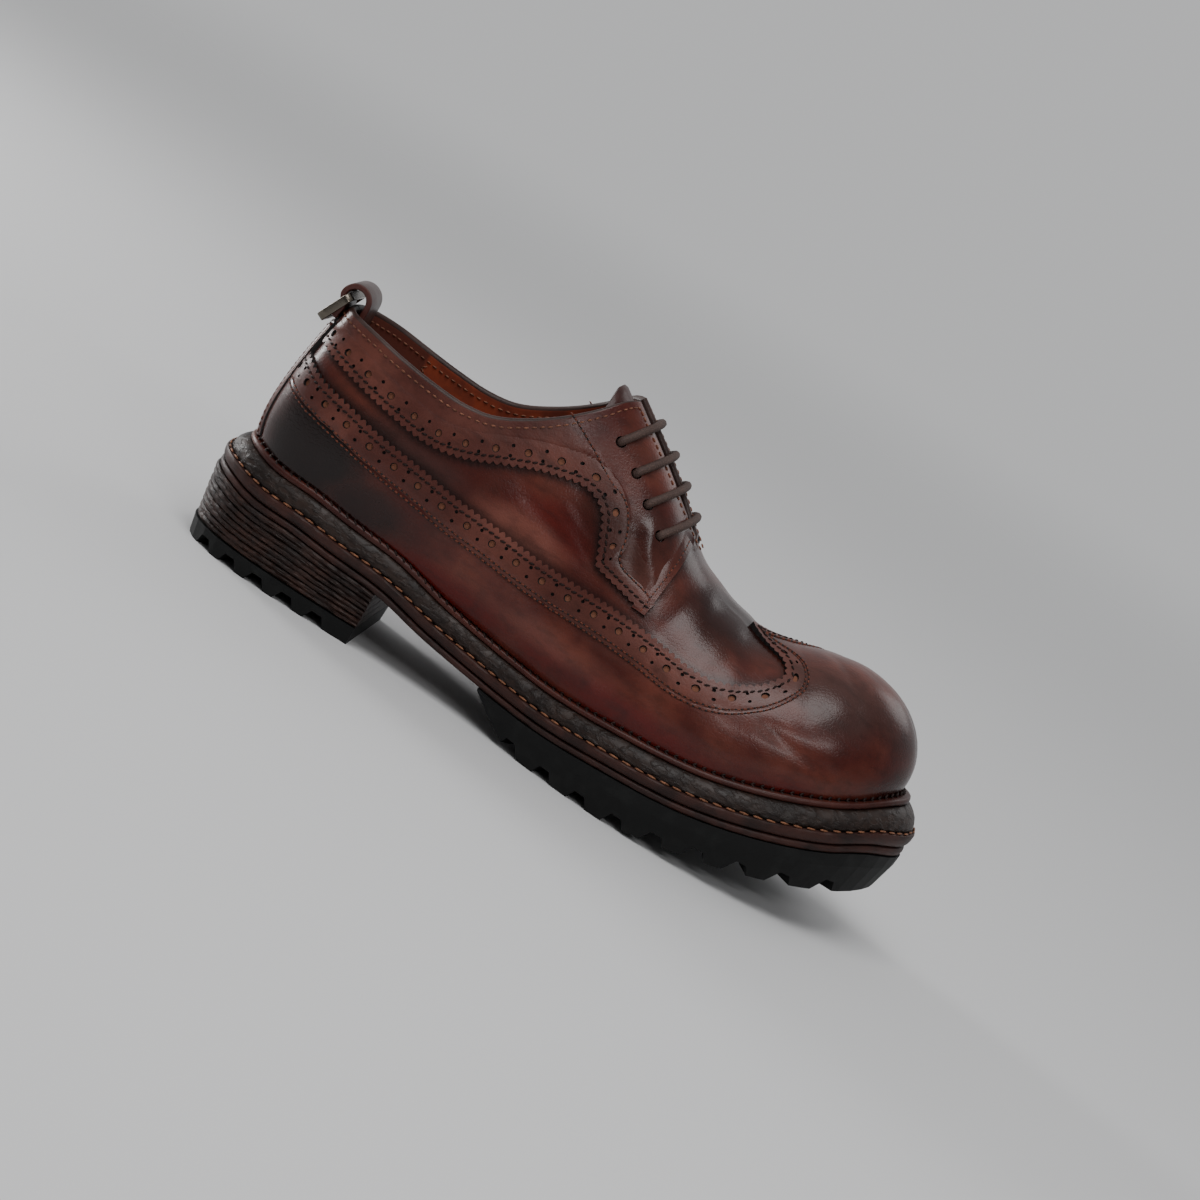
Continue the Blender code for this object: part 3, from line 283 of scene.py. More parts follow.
    def feather(self, x: np.ndarray) -> np.ndarray:
        """Height of the line where the upper meets the rand."""
        share = self.sizes.share(x)
        heel = read_rows(self.feather_rows, 1, share) * (self.sizes.heel_seat - self.sizes.ball_height)
        toe = read_rows(self.feather_rows, 2, share) * self.sizes.toe_rise
        return self.sizes.ball_height + heel + toe

    def layer(self, x: np.ndarray, depth: float) -> np.ndarray:
        """Height of the surface a depth of layers below the feather line."""
        return self.feather(x) - depth * read_rows(self.flare, 1, self.sizes.share(x))


@dataclass
class Last:
    """The form that the leather is pulled over: ribs from the feather line to the ridge."""

    sizes: ShoeSizes
    footprint: Footprint
    ridge_rows: Rows = (
        (0.160, 1.200), (0.250, 1.195), (0.310, 1.160), (0.371, 1.095), (0.439, 0.990),
        (0.521, 0.852), (0.565, 0.766), (0.592, 0.721), (0.625, 0.690), (0.666, 0.664),
        (0.703, 0.646), (0.742, 0.656), (0.781, 0.682),
    )
    toe_rows: Rows = ((0.815, 0.992), (0.840, 1.000), (0.860, 1.000))
    ridge_place: Rows = (
        (0.00, 0.178, 0.000), (0.12, 0.190, 0.000), (0.19, 0.216, 0.000), (0.28, 0.287, -0.004),
        (0.38, 0.384, -0.008), (0.47, 0.474, -0.012), (0.567, 0.565, -0.012),
        (0.66, 0.648, -0.010), (0.75, 0.722, -0.006), (0.833, 0.776, -0.004),
        (0.90, 0.806, 0.000), (0.957, 0.823, 0.000), (1.00, 0.829, 0.000),
    )
    ribs: Rows = (
        (0.00, 0.72, 0.72, 1.00, 2.6, 2.6), (0.12, 0.72, 0.72, 1.00, 2.8, 2.8),
        (0.28, 0.76, 0.76, 1.00, 3.6, 3.4), (0.38, 0.80, 0.78, 1.00, 6.0, 4.2),
        (0.47, 0.84, 0.80, 0.98, 5.2, 3.6), (0.567, 0.88, 0.84, 0.96, 3.2, 2.8),
        (0.66, 0.88, 0.86, 0.94, 2.6, 2.6), (0.75, 0.90, 0.88, 0.94, 2.4, 2.6),
        (0.833, 0.94, 0.92, 0.97, 2.2, 2.4), (0.90, 0.97, 0.97, 1.00, 2.0, 2.0),
        (1.00, 1.00, 1.00, 1.00, 1.8, 1.8),
    )
    collar_rows: Rows = (
        (0.020, 1.006), (0.060, 0.998), (0.100, 0.988), (0.145, 0.970), (0.194, 0.955),
        (0.245, 0.951), (0.275, 0.965), (0.320, 1.030), (0.355, 1.103), (0.387, 1.190),
        (0.405, 1.247), (0.418, 1.268), (0.440, 1.290),
    )

    def ridge_height(self, x: np.ndarray) -> np.ndarray:
        """Height of the ridge along the shoe."""
        rows = [(self.sizes.along(s), z * self.sizes.instep) for s, z in self.ridge_rows]
        rows += [(self.sizes.along(s), z * self.sizes.toe_height) for s, z in self.toe_rows]
        return read_rows(rows, 1, x)

    def foot(self, share: np.ndarray, side: int) -> np.ndarray:
        """Foot of the ribs in plan."""
        return self.footprint.point(share, side, self.footprint.welt_width(share, side))

    def ridge(self, share: np.ndarray) -> np.ndarray:
        """Places on the ridge that the ribs reach."""
        x = self.sizes.along(read_rows(self.ridge_place, 1, share))
        middle = (self.foot(share, -1)[..., 1] + self.foot(share, 1)[..., 1]) / 2
        y = middle + read_rows(self.ridge_place, 2, share) * self.sizes.ball
        return np.stack((x, y, self.ridge_height(x)), axis=-1)

    def surface(self, share: np.ndarray, side: int, height: np.ndarray) -> np.ndarray:
        """Places on the outer face of the upper.

        Args:
            share: share of the way round the side, from heel to toe.
            side: -1 medial, 1 lateral.
            height: share of the rib, from the feather line to the ridge.

        Returns:
            Places in millimetres, one row each.
        """
        foot = self.foot(share, side)
        base = self.footprint.feather(foot[..., 0]) + FIT
        ridge = self.ridge(share)
        slope = (self.ridge_height(ridge[..., 0] + 1) - self.ridge_height(ridge[..., 0] - 1)) / 2
        angle = height * math.pi / 2
        column = 2 if side > 0 else 1
        reach = np.maximum(np.cos(angle), 0.0) ** read_rows(self.ribs, column, share)
        rise = np.maximum(np.sin(angle), 0.0) ** read_rows(self.ribs, 3, share)
        plan = ridge[..., :2] + (foot - ridge[..., :2]) * reach[..., None]
        top = ridge[..., 2] + slope * (plan[..., 0] - ridge[..., 0])
        z = base + (top - base) * rise
        level = (z - base) / self.sizes.bulge_height
        swell = read_rows(self.ribs, 3 + column, share) * level * np.exp(1 - level) * reach
        plan = plan + self.footprint.normal(share, side) * swell[..., None]
        return np.concatenate((plan, z[..., None]), axis=-1)

    def top(self, share: np.ndarray, side: int) -> np.ndarray:
        """Share of each rib at which the upper ends, at the collar, the throat or the ridge."""
        sizes = self.sizes
        ridge = self.ridge(share)
        room = np.maximum(sizes.throat_bottom - ridge[:, 0], 0.0)
        gap = sizes.throat_half_gap * np.minimum(1.0, room / 18.0) ** 0.6
        gap = np.where(ridge[:, 0] < sizes.throat_back, 0.0, gap)

        def over_collar(spots: np.ndarray) -> np.ndarray:
            """Height of places over the topline."""
            return spots[:, 2] - read_rows(self.collar_rows, 1, sizes.share(spots[:, 0])) * sizes.collar

        def over_throat(spots: np.ndarray) -> np.ndarray:
            """How far places reach into the throat."""
            return np.where(gap > 0, gap - np.abs(spots[:, 1] - ridge[:, 1]), -1.0)

        collar, throat = (self.cross(share, side, test) for test in (over_collar, over_throat))
        collar = np.where(ridge[:, 0] > sizes.throat_bottom, 1.0, collar)
        return np.minimum(collar, throat)

    def cross(
        self, share: np.ndarray, side: int, test: Callable[[np.ndarray], np.ndarray]
    ) -> np.ndarray:
        """Lowest share of each rib at which a test turns positive, or 1.

        Args:
            share: ribs to look at.
            side: side of the shoe.
            test: value of places on the ribs, rising along them.

        Returns:
            One share per rib.
        """
        low = np.zeros(share.shape)
        high = np.ones(share.shape)
        never = test(self.surface(share, side, high)) < 0
        for _ in range(34):
            middle = (low + high) / 2
            under = test(self.surface(share, side, middle)) < 0
            low = np.where(under, middle, low)
            high = np.where(under, high, middle)
        return np.where(never, 1.0, high)


def stations(count: int, crowding: float = 0.35) -> np.ndarray:
    """Shares of the way round a side, closer together at heel and toe."""
    even = np.linspace(0.0, 1.0, count + 1)
    return (1 - crowding) * even + crowding * (1 - np.cos(np.pi * even)) / 2


@dataclass
class Skin:
    """Dense copy of the last's surface that pieces and seams are laid on."""

    last: Last
    around: int = 300
    up: int = 130

    def __post_init__(self) -> None:
        """Measure the surface and its outward directions."""
        shares = stations(self.around)
        heights = 1 - (1 - np.linspace(0.0, 1.0, self.up + 1)) ** 1.25
        grids = []
        for side in (-1, 1):
            share, height = np.meshgrid(shares, heights, indexing="ij")
            grids.append(self.last.surface(share, side, height))
        whole = np.concatenate((grids[0][::-1], grids[1][1:]))
        whole[0] = whole[-1] = (whole[1] + whole[-2]) / 2
        ahead = np.gradient(whole, axis=0)
        above = np.gradient(whole, axis=1)
        out = unit(np.cross(ahead, above))
        middle = len(out) // 2
        if out[middle // 2, self.up // 4, 1] > 0:
            out = -out
        out[0] = out[-1] = unit(out[1] + out[-2])
        out[:, -1] = unit(out[:, -2] + out[::-1, -2])
        self.spots = whole.reshape(-1, 3)
        self.out = out.reshape(-1, 3)
        wide = self.up + 1
        i, j = np.meshgrid(np.arange(len(whole) - 1), np.arange(self.up), indexing="ij")
        a = (i * wide + j).ravel()
        self.triangles = np.concatenate((
            np.stack((a, a + wide, a + wide + 1), axis=1),
            np.stack((a, a + wide + 1, a + 1), axis=1),
        ))
        self.tree = BVHTree.FromPolygons(self.spots.tolist(), self.triangles.tolist())

    def lay(self, points: np.ndarray) -> tuple[np.ndarray, np.ndarray]:
        """Nearest places on the last.

        Args:
            points: places near the surface.

        Returns:
            The places on it, and the outward directions there.
        """
        found = [self.tree.find_nearest(point) for point in points.tolist()]
        spots = np.array([hit[0] for hit in found])
        corners = self.triangles[np.array([hit[2] for hit in found])]
        a, b, c = (self.spots[corners[:, k]] for k in range(3))
        ab, ac, ap = b - a, c - a, spots - a
        d00 = np.sum(ab * ab, axis=1)
        d01 = np.sum(ab * ac, axis=1)
        d11 = np.sum(ac * ac, axis=1)
        d20 = np.sum(ap * ab, axis=1)
        d21 = np.sum(ap * ac, axis=1)
        lower = np.maximum(d00 * d11 - d01 * d01, 1e-12)
        v = np.clip((d11 * d20 - d01 * d21) / lower, 0.0, 1.0)
        w = np.clip((d00 * d21 - d01 * d20) / lower, 0.0, 1.0 - v)
        weights = (1 - v - w, v, w)
        out = sum(self.out[corners[:, k]] * weights[k][:, None] for k in range(3))
        return spots, unit(out)

    def from_side(self, rows: Rows, side: Side) -> np.ndarray:
        """Places on the last of a line drawn in the side view as (x, z)."""
        spots = []
        for x, z in rows:
            hit = self.tree.ray_cast(Vector((x, side.value * 90.0, z)), Vector((0, -side.value, 0)))
            if hit[0] is not None:
                spots.append(hit[0])
        return np.array(spots)

    def from_above(self, rows: Rows) -> np.ndarray:
        """Places on the last of a line drawn in plan as (x, y)."""
        hits = [self.tree.ray_cast(Vector((x, y, 200.0)), Vector((0, 0, -1)))[0] for x, y in rows]
        return np.array([hit for hit in hits if hit is not None])


@dataclass
class Route:
    """A line along a surface, with its ways along, across and out at each step."""

    spots: np.ndarray
    out: np.ndarray
    turn: float = 1.0
    spread: int = 0
    skin: Skin | None = None

    def __post_init__(self) -> None:
        """Work out the run, the tangents and the ways across."""
        self.run = run_along(self.spots)
        self.length = float(self.run[-1])
        self.ahead = unit(np.gradient(self.spots, axis=0))
        across = unit(np.cross(self.out, self.ahead)) * self.turn
        if self.spread:
            across = unit(blur(across, self.spread))
        self.across = across

    @classmethod
    def on_skin(
        cls, skin: Skin, points: np.ndarray, turn: float, soften: int = 3, spread: int = 9
    ) -> "Route":
        """A route of 1 mm steps through points, laid on the last.

        Args:
            skin: surface to lie on.
            points: places in order.
            turn: 1 or -1, which way across counts as in.
            soften: steps over which corners are rounded.
            spread: steps over which the way across turns at a corner.

        Returns:
            The route.
        """
        run = run_along(points)
        dense = read_line(points, run, np.arange(0.0, run[-1], 1.0))
        spots, out = skin.lay(blur(dense, soften))
        return cls(spots, out, turn, spread, skin)

    def at(self, run: np.ndarray) -> tuple[np.ndarray, np.ndarray, np.ndarray, np.ndarray]:
        """Place and the ways ahead, across and out at distances along the route."""
        ways = [unit(read_line(way, self.run, run)) for way in (self.ahead, self.across, self.out)]
        return read_line(self.spots, self.run, run), *ways

    def place(self, flat: np.ndarray) -> tuple[np.ndarray, np.ndarray, np.ndarray]:
        """Where flat places (along, across, up) come to lie.

        Args:
            flat: rows of distances along, across and up.

        Returns:
            The places, the ways ahead and the ways out.
        """
        spots, ahead, across, out = self.at(flat[:, 0])
        spots = spots + across * flat[:, 1, None]
        if self.skin is not None:
            spots, out = self.skin.lay(spots)
        return spots + out * flat[:, 2, None], ahead, out

    def part(self, start: float, end: float) -> "Route":
        """The stretch of the route between two distances."""
        keep = (self.run >= start) & (self.run <= end)
        return Route(self.spots[keep], self.out[keep], self.turn, self.spread, self.skin)


def blur(rows: np.ndarray, half: int) -> np.ndarray:
    """Rows averaged with their neighbours, the ends kept.

    Args:
        rows: values in order.
        half: how many neighbours on each side count.

    Returns:
        The softened rows.
    """
    if half < 1:
        return rows
    count = len(rows)
    total = np.vstack((np.zeros((1, rows.shape[1])), np.cumsum(rows, axis=0)))
    index = np.arange(count)
    reach = np.minimum(np.minimum(index, count - 1 - index), half)
    low = index - reach
    high = index + reach + 1
    return (total[high] - total[low]) / (high - low)[:, None]


@dataclass(frozen=True)
class Thread:
    """A run of stitches: pitch, length, radius and how far they stand out."""

    pitch: float
    length: float
    radius: float
    lift: float = 0.15
    lean: float = 0.0
    wobble: float = 0.06
    phase: float = 0.0

    def needle_holes(self) -> "Thread":
        """Dark beads between these stitches, painted shade for the pits of the needle holes."""
        gap = self.pitch - self.length + 0.5
        return replace(self, length=gap, lift=self.lift - 0.08, phase=0.5, lean=0.0)


class Bench:
    """Turns meshes in millimetres into finished pieces of the shoe."""

    def __init__(self) -> None:
        """Make the collection that the pieces go into."""
        self.pieces = bpy.data.collections.new("dressed_shoe")
        bpy.context.scene.collection.children.link(self.pieces)

    def finish(
        self,
        name: str,
        bm: bmesh.types.BMesh,
        finishes: Sequence["Finish"],
        slot: str,
        replaces: Iterable[str] = (),
        body: Body = Body.SHOE,
        sharp: float = 40.0,
    ) -> bpy.types.Object:
        """Make an object of a mesh and hide the frame's nodes that it stands for.

        Args:
            name: the piece's name.
            bm: its mesh in millimetres.
            finishes: finishes in the order of the mesh's material numbers.
            slot: not used.
            replaces: nodes of the frame that it stands for.
            body: what it moves with.
            sharp: angle in degrees above which an edge looks sharp.

        Returns:
            The object.
        """
        bmesh.ops.scale(bm, vec=(MM, MM, MM), verts=bm.verts)
        mesh = bpy.data.meshes.new(name)
        bm.to_mesh(mesh)
        bm.free()
        mesh.shade_smooth()
        mesh.set_sharp_from_angle(angle=math.radians(sharp))
        for finish in finishes:
            mesh.materials.append(finish.material())
        item = bpy.data.objects.new(name, mesh)
        self.pieces.objects.link(item)
        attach(item, body.value)
        nodes = list(replaces)
        if nodes:
            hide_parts(*nodes)
        LOG.info("%s: %d faces", name, len(mesh.polygons))
        return item


def face_outwards(bm: bmesh.types.BMesh) -> None:
    """Turn a closed mesh's faces outwards."""
    bmesh.ops.recalc_face_normals(bm, faces=bm.faces)
    if bm.calc_volume(signed=True) < 0:
        bmesh.ops.reverse_faces(bm, faces=bm.faces)


def set_places(bm: bmesh.types.BMesh, places: np.ndarray) -> None:
    """Move a mesh's points to new places, row by row."""
    for vertex, place in zip(bm.verts, places.tolist()):
        vertex.co = place


def get_places(bm: bmesh.types.BMesh) -> np.ndarray:
    """A mesh's points as rows."""
    return np.array([vertex.co[:] for vertex in bm.verts])


def flat_grid(columns: int, rows: int) -> tuple[bmesh.types.BMesh, np.ndarray, np.ndarray]:
    """A flat grid, with the column and the row of each of its points."""
    bm = bmesh.new()
    bmesh.ops.create_grid(bm, x_segments=columns - 1, y_segments=rows - 1, size=1.0)
    flat = get_places(bm)
    i, j = (
        np.rint((flat[:, k] + 1) / 2 * (count - 1)).astype(int) for k, count in enumerate((columns, rows))
    )
    return bm, i, j


def grid_mesh(places: np.ndarray, weld: float = 0.02) -> bmesh.types.BMesh:
    """A sheet through a grid of places, welded where its sides meet.

    Args:
        places: grid of places, shape (columns, rows, 3).
        weld: distance below which points are joined.

    Returns:
        The sheet's mesh.
    """
    bm, i, j = flat_grid(*places.shape[:2])
    set_places(bm, places[i, j])
    bmesh.ops.remove_doubles(bm, verts=bm.verts, dist=weld)
    return bm


def close_ends(bm: bmesh.types.BMesh) -> None:
    """Fill a tube's open ends and turn its faces outwards."""
    ends = [edge for edge in bm.edges if edge.is_boundary]
    if ends:
        bmesh.ops.holes_fill(bm, edges=ends, sides=0)
    face_outwards(bm)


def grow(
    bm: bmesh.types.BMesh, edges: Sequence[bmesh.types.BMEdge]
) -> tuple[list[bmesh.types.BMVert], list[bmesh.types.BMEdge]]:
    """Extrude edges into faces of cut leather, material 1.

    Args:
        bm: mesh to work on.
        edges: its edges to extrude.

    Returns:
        The new points and the new border.
    """
    made = bmesh.ops.extrude_edge_only(bm, edges=edges)["geom"]
    for face in (item for item in made if isinstance(item, bmesh.types.BMFace)):
        face.material_index = 1
    points = [item for item in made if isinstance(item, bmesh.types.BMVert)]
    return points, [item for item in made if isinstance(item, bmesh.types.BMEdge) and item.is_boundary]


def sew(
    bench: Bench,
    name: str,
    runs: Sequence[tuple[Route, float, Thread]],
    finish: "Finish",
    slot: str,
    seed: int,
) -> bpy.types.Object:
    """Stitches along routes as one mesh of small rounded lengths of thread.

    Args:
        bench: where pieces are finished.
        name: the piece's name.
        runs: route, distance across it and kind of thread of each row.
        finish: the thread's finish.
        slot: handed on to Bench.finish.
        seed: what makes their unevenness the same each time.

    Returns:
        The object.
    """
    chance = np.random.default_rng(seed)
    bm = bmesh.new()
    for route, across, thread in runs:
        count = max(1, int(route.length / thread.pitch))
        run = (np.arange(count) + 0.5 + thread.phase) * route.length / count
        run = run + chance.normal(0.0, thread.wobble, count)
        flat = np.stack((run, np.full(count, across), np.full(count, thread.lift)), axis=1)
        flat[:, 1] += chance.normal(0.0, thread.wobble, count)
        spots, ahead, out = route.place(flat)
        for spot, way, up in zip(spots, ahead, out):
            up = Vector(up)
            way = (Vector(way) - up * Vector(way).dot(up)).normalized()
            way = Matrix.Rotation(math.radians(thread.lean), 3, up) @ way
            side = up.cross(way)
            turn = Matrix((way, side, up)).transposed().to_4x4()
            size = Matrix.Diagonal((thread.length / 2, thread.radius, thread.radius, 1.0))
            bmesh.ops.create_uvsphere(
                bm, u_segments=6, v_segments=4, radius=1.0,
                matrix=Matrix.Translation(spot) @ turn @ size,
            )
    return bench.finish(name, bm, [finish], slot, sharp=180.0)


class Value:
    """A shader socket that takes part in sums."""

    def __init__(self, sheet: "Sheet", socket: bpy.types.NodeSocket) -> None:
        """Wrap a node's output."""
        self.sheet = sheet
        self.socket = socket

    def math(self, operation: str, first: "Value | float", second: "Value | float") -> "Value":
        """A Math node on two values."""
        node = self.sheet.node("ShaderNodeMath", {"operation": operation}, {0: first, 1: second})
        return Value(self.sheet, node.outputs[0])

    def __add__(self, other: "Value | float") -> "Value":
        """Sum."""
        return self.math("ADD", self, other)

    __radd__ = __add__

    def __sub__(self, other: "Value | float") -> "Value":
        """Difference."""
        return self.math("SUBTRACT", self, other)

    def __rsub__(self, other: float) -> "Value":
        """Difference from a number."""
        return self.math("SUBTRACT", other, self)

    def __mul__(self, other: "Value | float") -> "Value":
        """Product."""
        return self.math("MULTIPLY", self, other)

    __rmul__ = __mul__

    def larger(self, other: "Value | float") -> "Value":
        """The larger of two values."""
        return self.math("MAXIMUM", self, other)

    def step(self, low: float, high: float, start: float = 0.0, end: float = 1.0) -> "Value":
        """Smooth step from start at low to end at high."""
        node = self.sheet.node(
            "ShaderNodeMapRange",
            {"interpolation_type": "SMOOTHSTEP"},
            {"Value": self, "From Min": low, "From Max": high, "To Min": start, "To Max": end},
        )
        return Value(self.sheet, node.outputs[0])


Colour = tuple[float, float, float]
Setting = Value | float | tuple[float, ...]


class Sheet:
    """The node sheet of one material."""

    def __init__(self, name: str) -> None:
        """Start a material with one Principled shader."""
        self.material = bpy.data.materials.new(name)
        self.material.use_nodes = True
        self.tree = self.material.node_tree
        self.shader = self.tree.nodes["Principled BSDF"]
        self.place = Value(self, self.node("ShaderNodeTexCoord", {}, {}).outputs["Object"])

    def node(
        self, kind: str, settings: dict[str, object], inputs: dict[str | int, Setting]
    ) -> bpy.types.Node:
        """A node with its settings and its sockets' values or links.

        Args:
            kind: the node's type.
            settings: its properties, set first.
            inputs: values or links by socket name or number.

        Returns:
            The node.
        """
        node = self.tree.nodes.new(kind)
        for key, setting in settings.items():
            setattr(node, key, setting)
        for key, value in inputs.items():
            self.plug(node.inputs[key], value)
        return node

    def plug(self, socket: bpy.types.NodeSocket, value: Setting) -> None:
        """Link a value to a socket, or set a constant on it."""
        if isinstance(value, Value):
            self.tree.links.new(value.socket, socket)
        elif isinstance(value, tuple) and len(value) == 3 and socket.type == "RGBA":
            socket.default_value = (*value, 1.0)
        else:
            socket.default_value = value

    def noise(
        self, size: float, detail: float = 3.0, stretch: Colour = (1.0, 1.0, 1.0), at: "Value | None" = None
    ) -> Value:
        """Soft noise whose features are size millimetres across."""
        mapped = self.node(
            "ShaderNodeMapping", {"vector_type": "POINT"},
            {"Vector": at or self.place, "Scale": stretch},
        )
        node = self.node(
            "ShaderNodeTexNoise", {"noise_dimensions": "3D"},
            {"Vector": Value(self, mapped.outputs[0]), "Scale": 1000.0 / size, "Detail": detail},
        )
        return Value(self, node.outputs[0])

    def cells(self, size: float, feature: str = "F1", at: "Value | None" = None) -> Value:
        """Distance to the nearest cell point, or to a cell's border, of cells size mm across."""
        node = self.node(
            "ShaderNodeTexVoronoi", {"feature": feature},
            {"Vector": at or self.place, "Scale": 1000.0 / size},
        )
        return Value(self, node.outputs["Distance"])

    def axis(self, name: str) -> Value:
        """A coordinate in metres, by its letter."""
        node = self.node("ShaderNodeSeparateXYZ", {}, {0: self.place})
        return Value(self, node.outputs[name])

    def attribute(self, name: str) -> Value:
        """A number that the mesh carries at its points, 0 where it has none."""
        node = self.node("ShaderNodeAttribute", {"attribute_name": name}, {})
        return Value(self, node.outputs["Fac"])

    def mix(self, factor: "Value | float", first: Setting, second: Setting) -> Value:
        """Blend of two colours."""
        node = self.node(
            "ShaderNodeMix", {"data_type": "RGBA"}, {0: factor, 6: first, 7: second}
        )
        return Value(self, node.outputs[2])

    def patch(self, centre: Colour, radii: Colour, ragged: float = 0.5) -> Value:
        """Soft ragged patch round a place: 1 in its middle and 0 outside.

        Args:
            centre: its middle in millimetres.
            radii: its reach along each axis in millimetres.
            ragged: how far its border wanders.

        Returns:
            The patch's strength.
        """
        scale = tuple(1000.0 / radius for radius in radii)
        shift = tuple(-c / radius for c, radius in zip(centre, radii))
        mapped = self.node(
            "ShaderNodeMapping", {}, {"Vector": self.place, "Location": shift, "Scale": scale}
        )
        reach = Value(self, mapped.outputs[0])
        length = self.node("ShaderNodeVectorMath", {"operation": "LENGTH"}, {0: reach})
        wander = (self.noise(17.0, 4.0) - 0.5) * ragged
        return (Value(self, length.outputs["Value"]) + wander).step(0.35, 1.1, 1.0, 0.0)

    def bump(self, height: Value, depth: float, strength: float = 1.0, under: "Value | None" = None) -> Value:
        """A bump whose height of 1 stands depth millimetres proud."""
        inputs = {"Height": height, "Distance": depth * MM, "Strength": strength}
        if under is not None:
            inputs["Normal"] = under
        return Value(self, self.node("ShaderNodeBump", {}, inputs).outputs[0])

    def dress(self, **sockets: Setting) -> None:
        """Set or link the shader's sockets; an underscore stands for a space."""
        for key, value in sockets.items():
            self.plug(self.shader.inputs[key.replace("_", " ")], value)


@dataclass(frozen=True)
class Finish:
    """A finish of the shoe; its material is made once."""

    name: str

    def material(self) -> bpy.types.Material:
        """The finish's material."""
        known = bpy.data.materials.get("shoe_" + self.name)
        if known is not None:
            return known
        sheet = Sheet("shoe_" + self.name)
        self.paint(sheet)
        return sheet.material

    def paint(self, sheet: Sheet) -> None:
        """Draw the finish on a node sheet."""
        raise NotImplementedError


@dataclass(frozen=True)
class Patch:
    """A soft patch of the upper's colour, used for burnish, redder tone, painted sheen and painted
    highlights: middle, reach and strength.
    """

    centre: Colour
    radii: Colour
    strength: float = 1.0


@dataclass(frozen=True)
class CalfFinish(Finish):
    """Hand-burnished calf: red-brown with dark burnished patches, painted sheen and painted highlights in
    patches, painted shade at the foot of overlay edges, fine grain and a wax shine.
    """

    base: Colour = (0.056, 0.0085, 0.0056)
    light: Colour = (0.125, 0.030, 0.019)
    red: Colour = (0.090, 0.0050, 0.0030)
    dark: Colour = (0.0078, 0.0026, 0.0021)
    # grey of the painted sheen on the toe's top and the upper heel counter
    sheen_grey: Colour = (0.046, 0.023, 0.020)
    # lighter colour of the painted highlight patches on calf and band; on the rand, the colour of its lighter
    # heel patch
    wear_and_highlight: Colour = (0.190, 0.064, 0.047)
    burnish: tuple[Patch, ...] = ()
    glow: tuple[Patch, ...] = ()
    # patches of painted sheen
    haze: tuple[Patch, ...] = ()
    # patches of painted highlight on calf and band; on the rand, a lighter patch at the heel
    highlight_and_wear_patches: tuple[Patch, ...] = ()
    roughness: float = 0.31
    grain: float = 0.06
    wax: float = 0.10

    def cover(self, sheet: Sheet, patches: tuple[Patch, ...]) -> "Value | float":
        """Strength of all the patches of one kind."""
        total: Value | float = 0.0
        for patch in patches:
            mask = sheet.patch(patch.centre, patch.radii) * patch.strength
            total = mask if isinstance(total, float) else total.larger(mask)
        return total

    def paint(self, sheet: Sheet) -> None:
        """Draw the finish on a node sheet."""
        cloud = sheet.noise(26.0, 4.0).step(0.35, 0.68)
        colour = sheet.mix(cloud, self.base, self.light)
        colour = sheet.mix(self.cover(sheet, self.glow), colour, self.red)
        # painted highlights: lighter patches where calf and band catch the light
        colour = sheet.mix(self.cover(sheet, self.highlight_and_wear_patches), colour, self.wear_and_highlight)
        # painted sheen: grey over the toe's top and the upper heel counter
        colour = sheet.mix(self.cover(sheet, self.haze), colour, self.sheen_grey)
        dark = self.cover(sheet, self.burnish)
        colour = sheet.mix(dark, colour, self.dark)
        mottle = sheet.noise(13.0, 5.0).step(0.50, 0.72) * 0.36
        colour = sheet.mix(mottle, colour, self.dark)
        streak = sheet.noise(3.4, 5.0, (0.35, 1.0, 1.0)).step(0.45, 0.75) * 0.30
        colour = sheet.mix(streak, colour, self.dark)
        # painted shade: darker at the foot of each overlay's edge
        foot = sheet.attribute(SEAM_SHADE_LAYER) * 0.65
        colour = sheet.mix(foot, colour, self.dark)
        pores = sheet.noise(0.9, 2.0)
        wrinkles = sheet.cells(1.6, "DISTANCE_TO_EDGE").step(0.0, 0.22)
        creases = sheet.noise(5.0, 3.0, (1.0, 1.0, 2.6))
        normal = sheet.bump(creases, 0.20, 0.35)
        normal = sheet.bump(wrinkles, self.grain, 0.35, normal)
        normal = sheet.bump(pores, self.grain, 0.35, normal)
        rough = sheet.noise(9.0, 4.0) * 0.16 + (self.roughness - 0.08)
        if isinstance(dark, Value):
            rough = rough - dark * 0.08
        sheet.dress(
            Base_Color=colour, Roughness=rough, Normal=normal, Coat_Weight=self.wax, Coat_Roughness=0.16,
            Specular_IOR_Level=0.28,
        )


@dataclass(frozen=True)
class ThreadFinish(Finish):
    """Waxed sewing thread."""

    colour: Colour = (0.10, 0.03, 0.02)
    roughness: float = 0.55

    def paint(self, sheet: Sheet) -> None:
        """Draw the finish on a node sheet."""
        tone = sheet.noise(1.4, 2.0).step(0.3, 0.7)
        darker = tuple(c * 0.45 for c in self.colour)
        twist = sheet.noise(0.5, 1.0)
        sheet.dress(
            Base_Color=sheet.mix(tone, darker, self.colour), Roughness=self.roughness,
            Normal=sheet.bump(twist, 0.10, 0.5), Specular_IOR_Level=0.22,
        )


@dataclass(frozen=True)
class CutFinish(Finish):
    """Raw cut leather: the sides of pinked edges and holes, and, as painted shade, the bottoms of the small
    holes and the needle-hole beads.
    """

    colour: Colour = (0.014, 0.007, 0.006)
    roughness: float = 0.7

    def paint(self, sheet: Sheet) -> None:
        """Draw the finish on a node sheet."""
        # fibre tone that is darker in the bump's hollows: partly the fibres' own tone, partly painted shade
        fibre = sheet.noise(0.6, 3.0)
        darker = tuple(c * 0.5 for c in self.colour)
        sheet.dress(
            Base_Color=sheet.mix(fibre, darker, self.colour), Roughness=self.roughness,
            Normal=sheet.bump(fibre, 0.12, 0.6),
        )


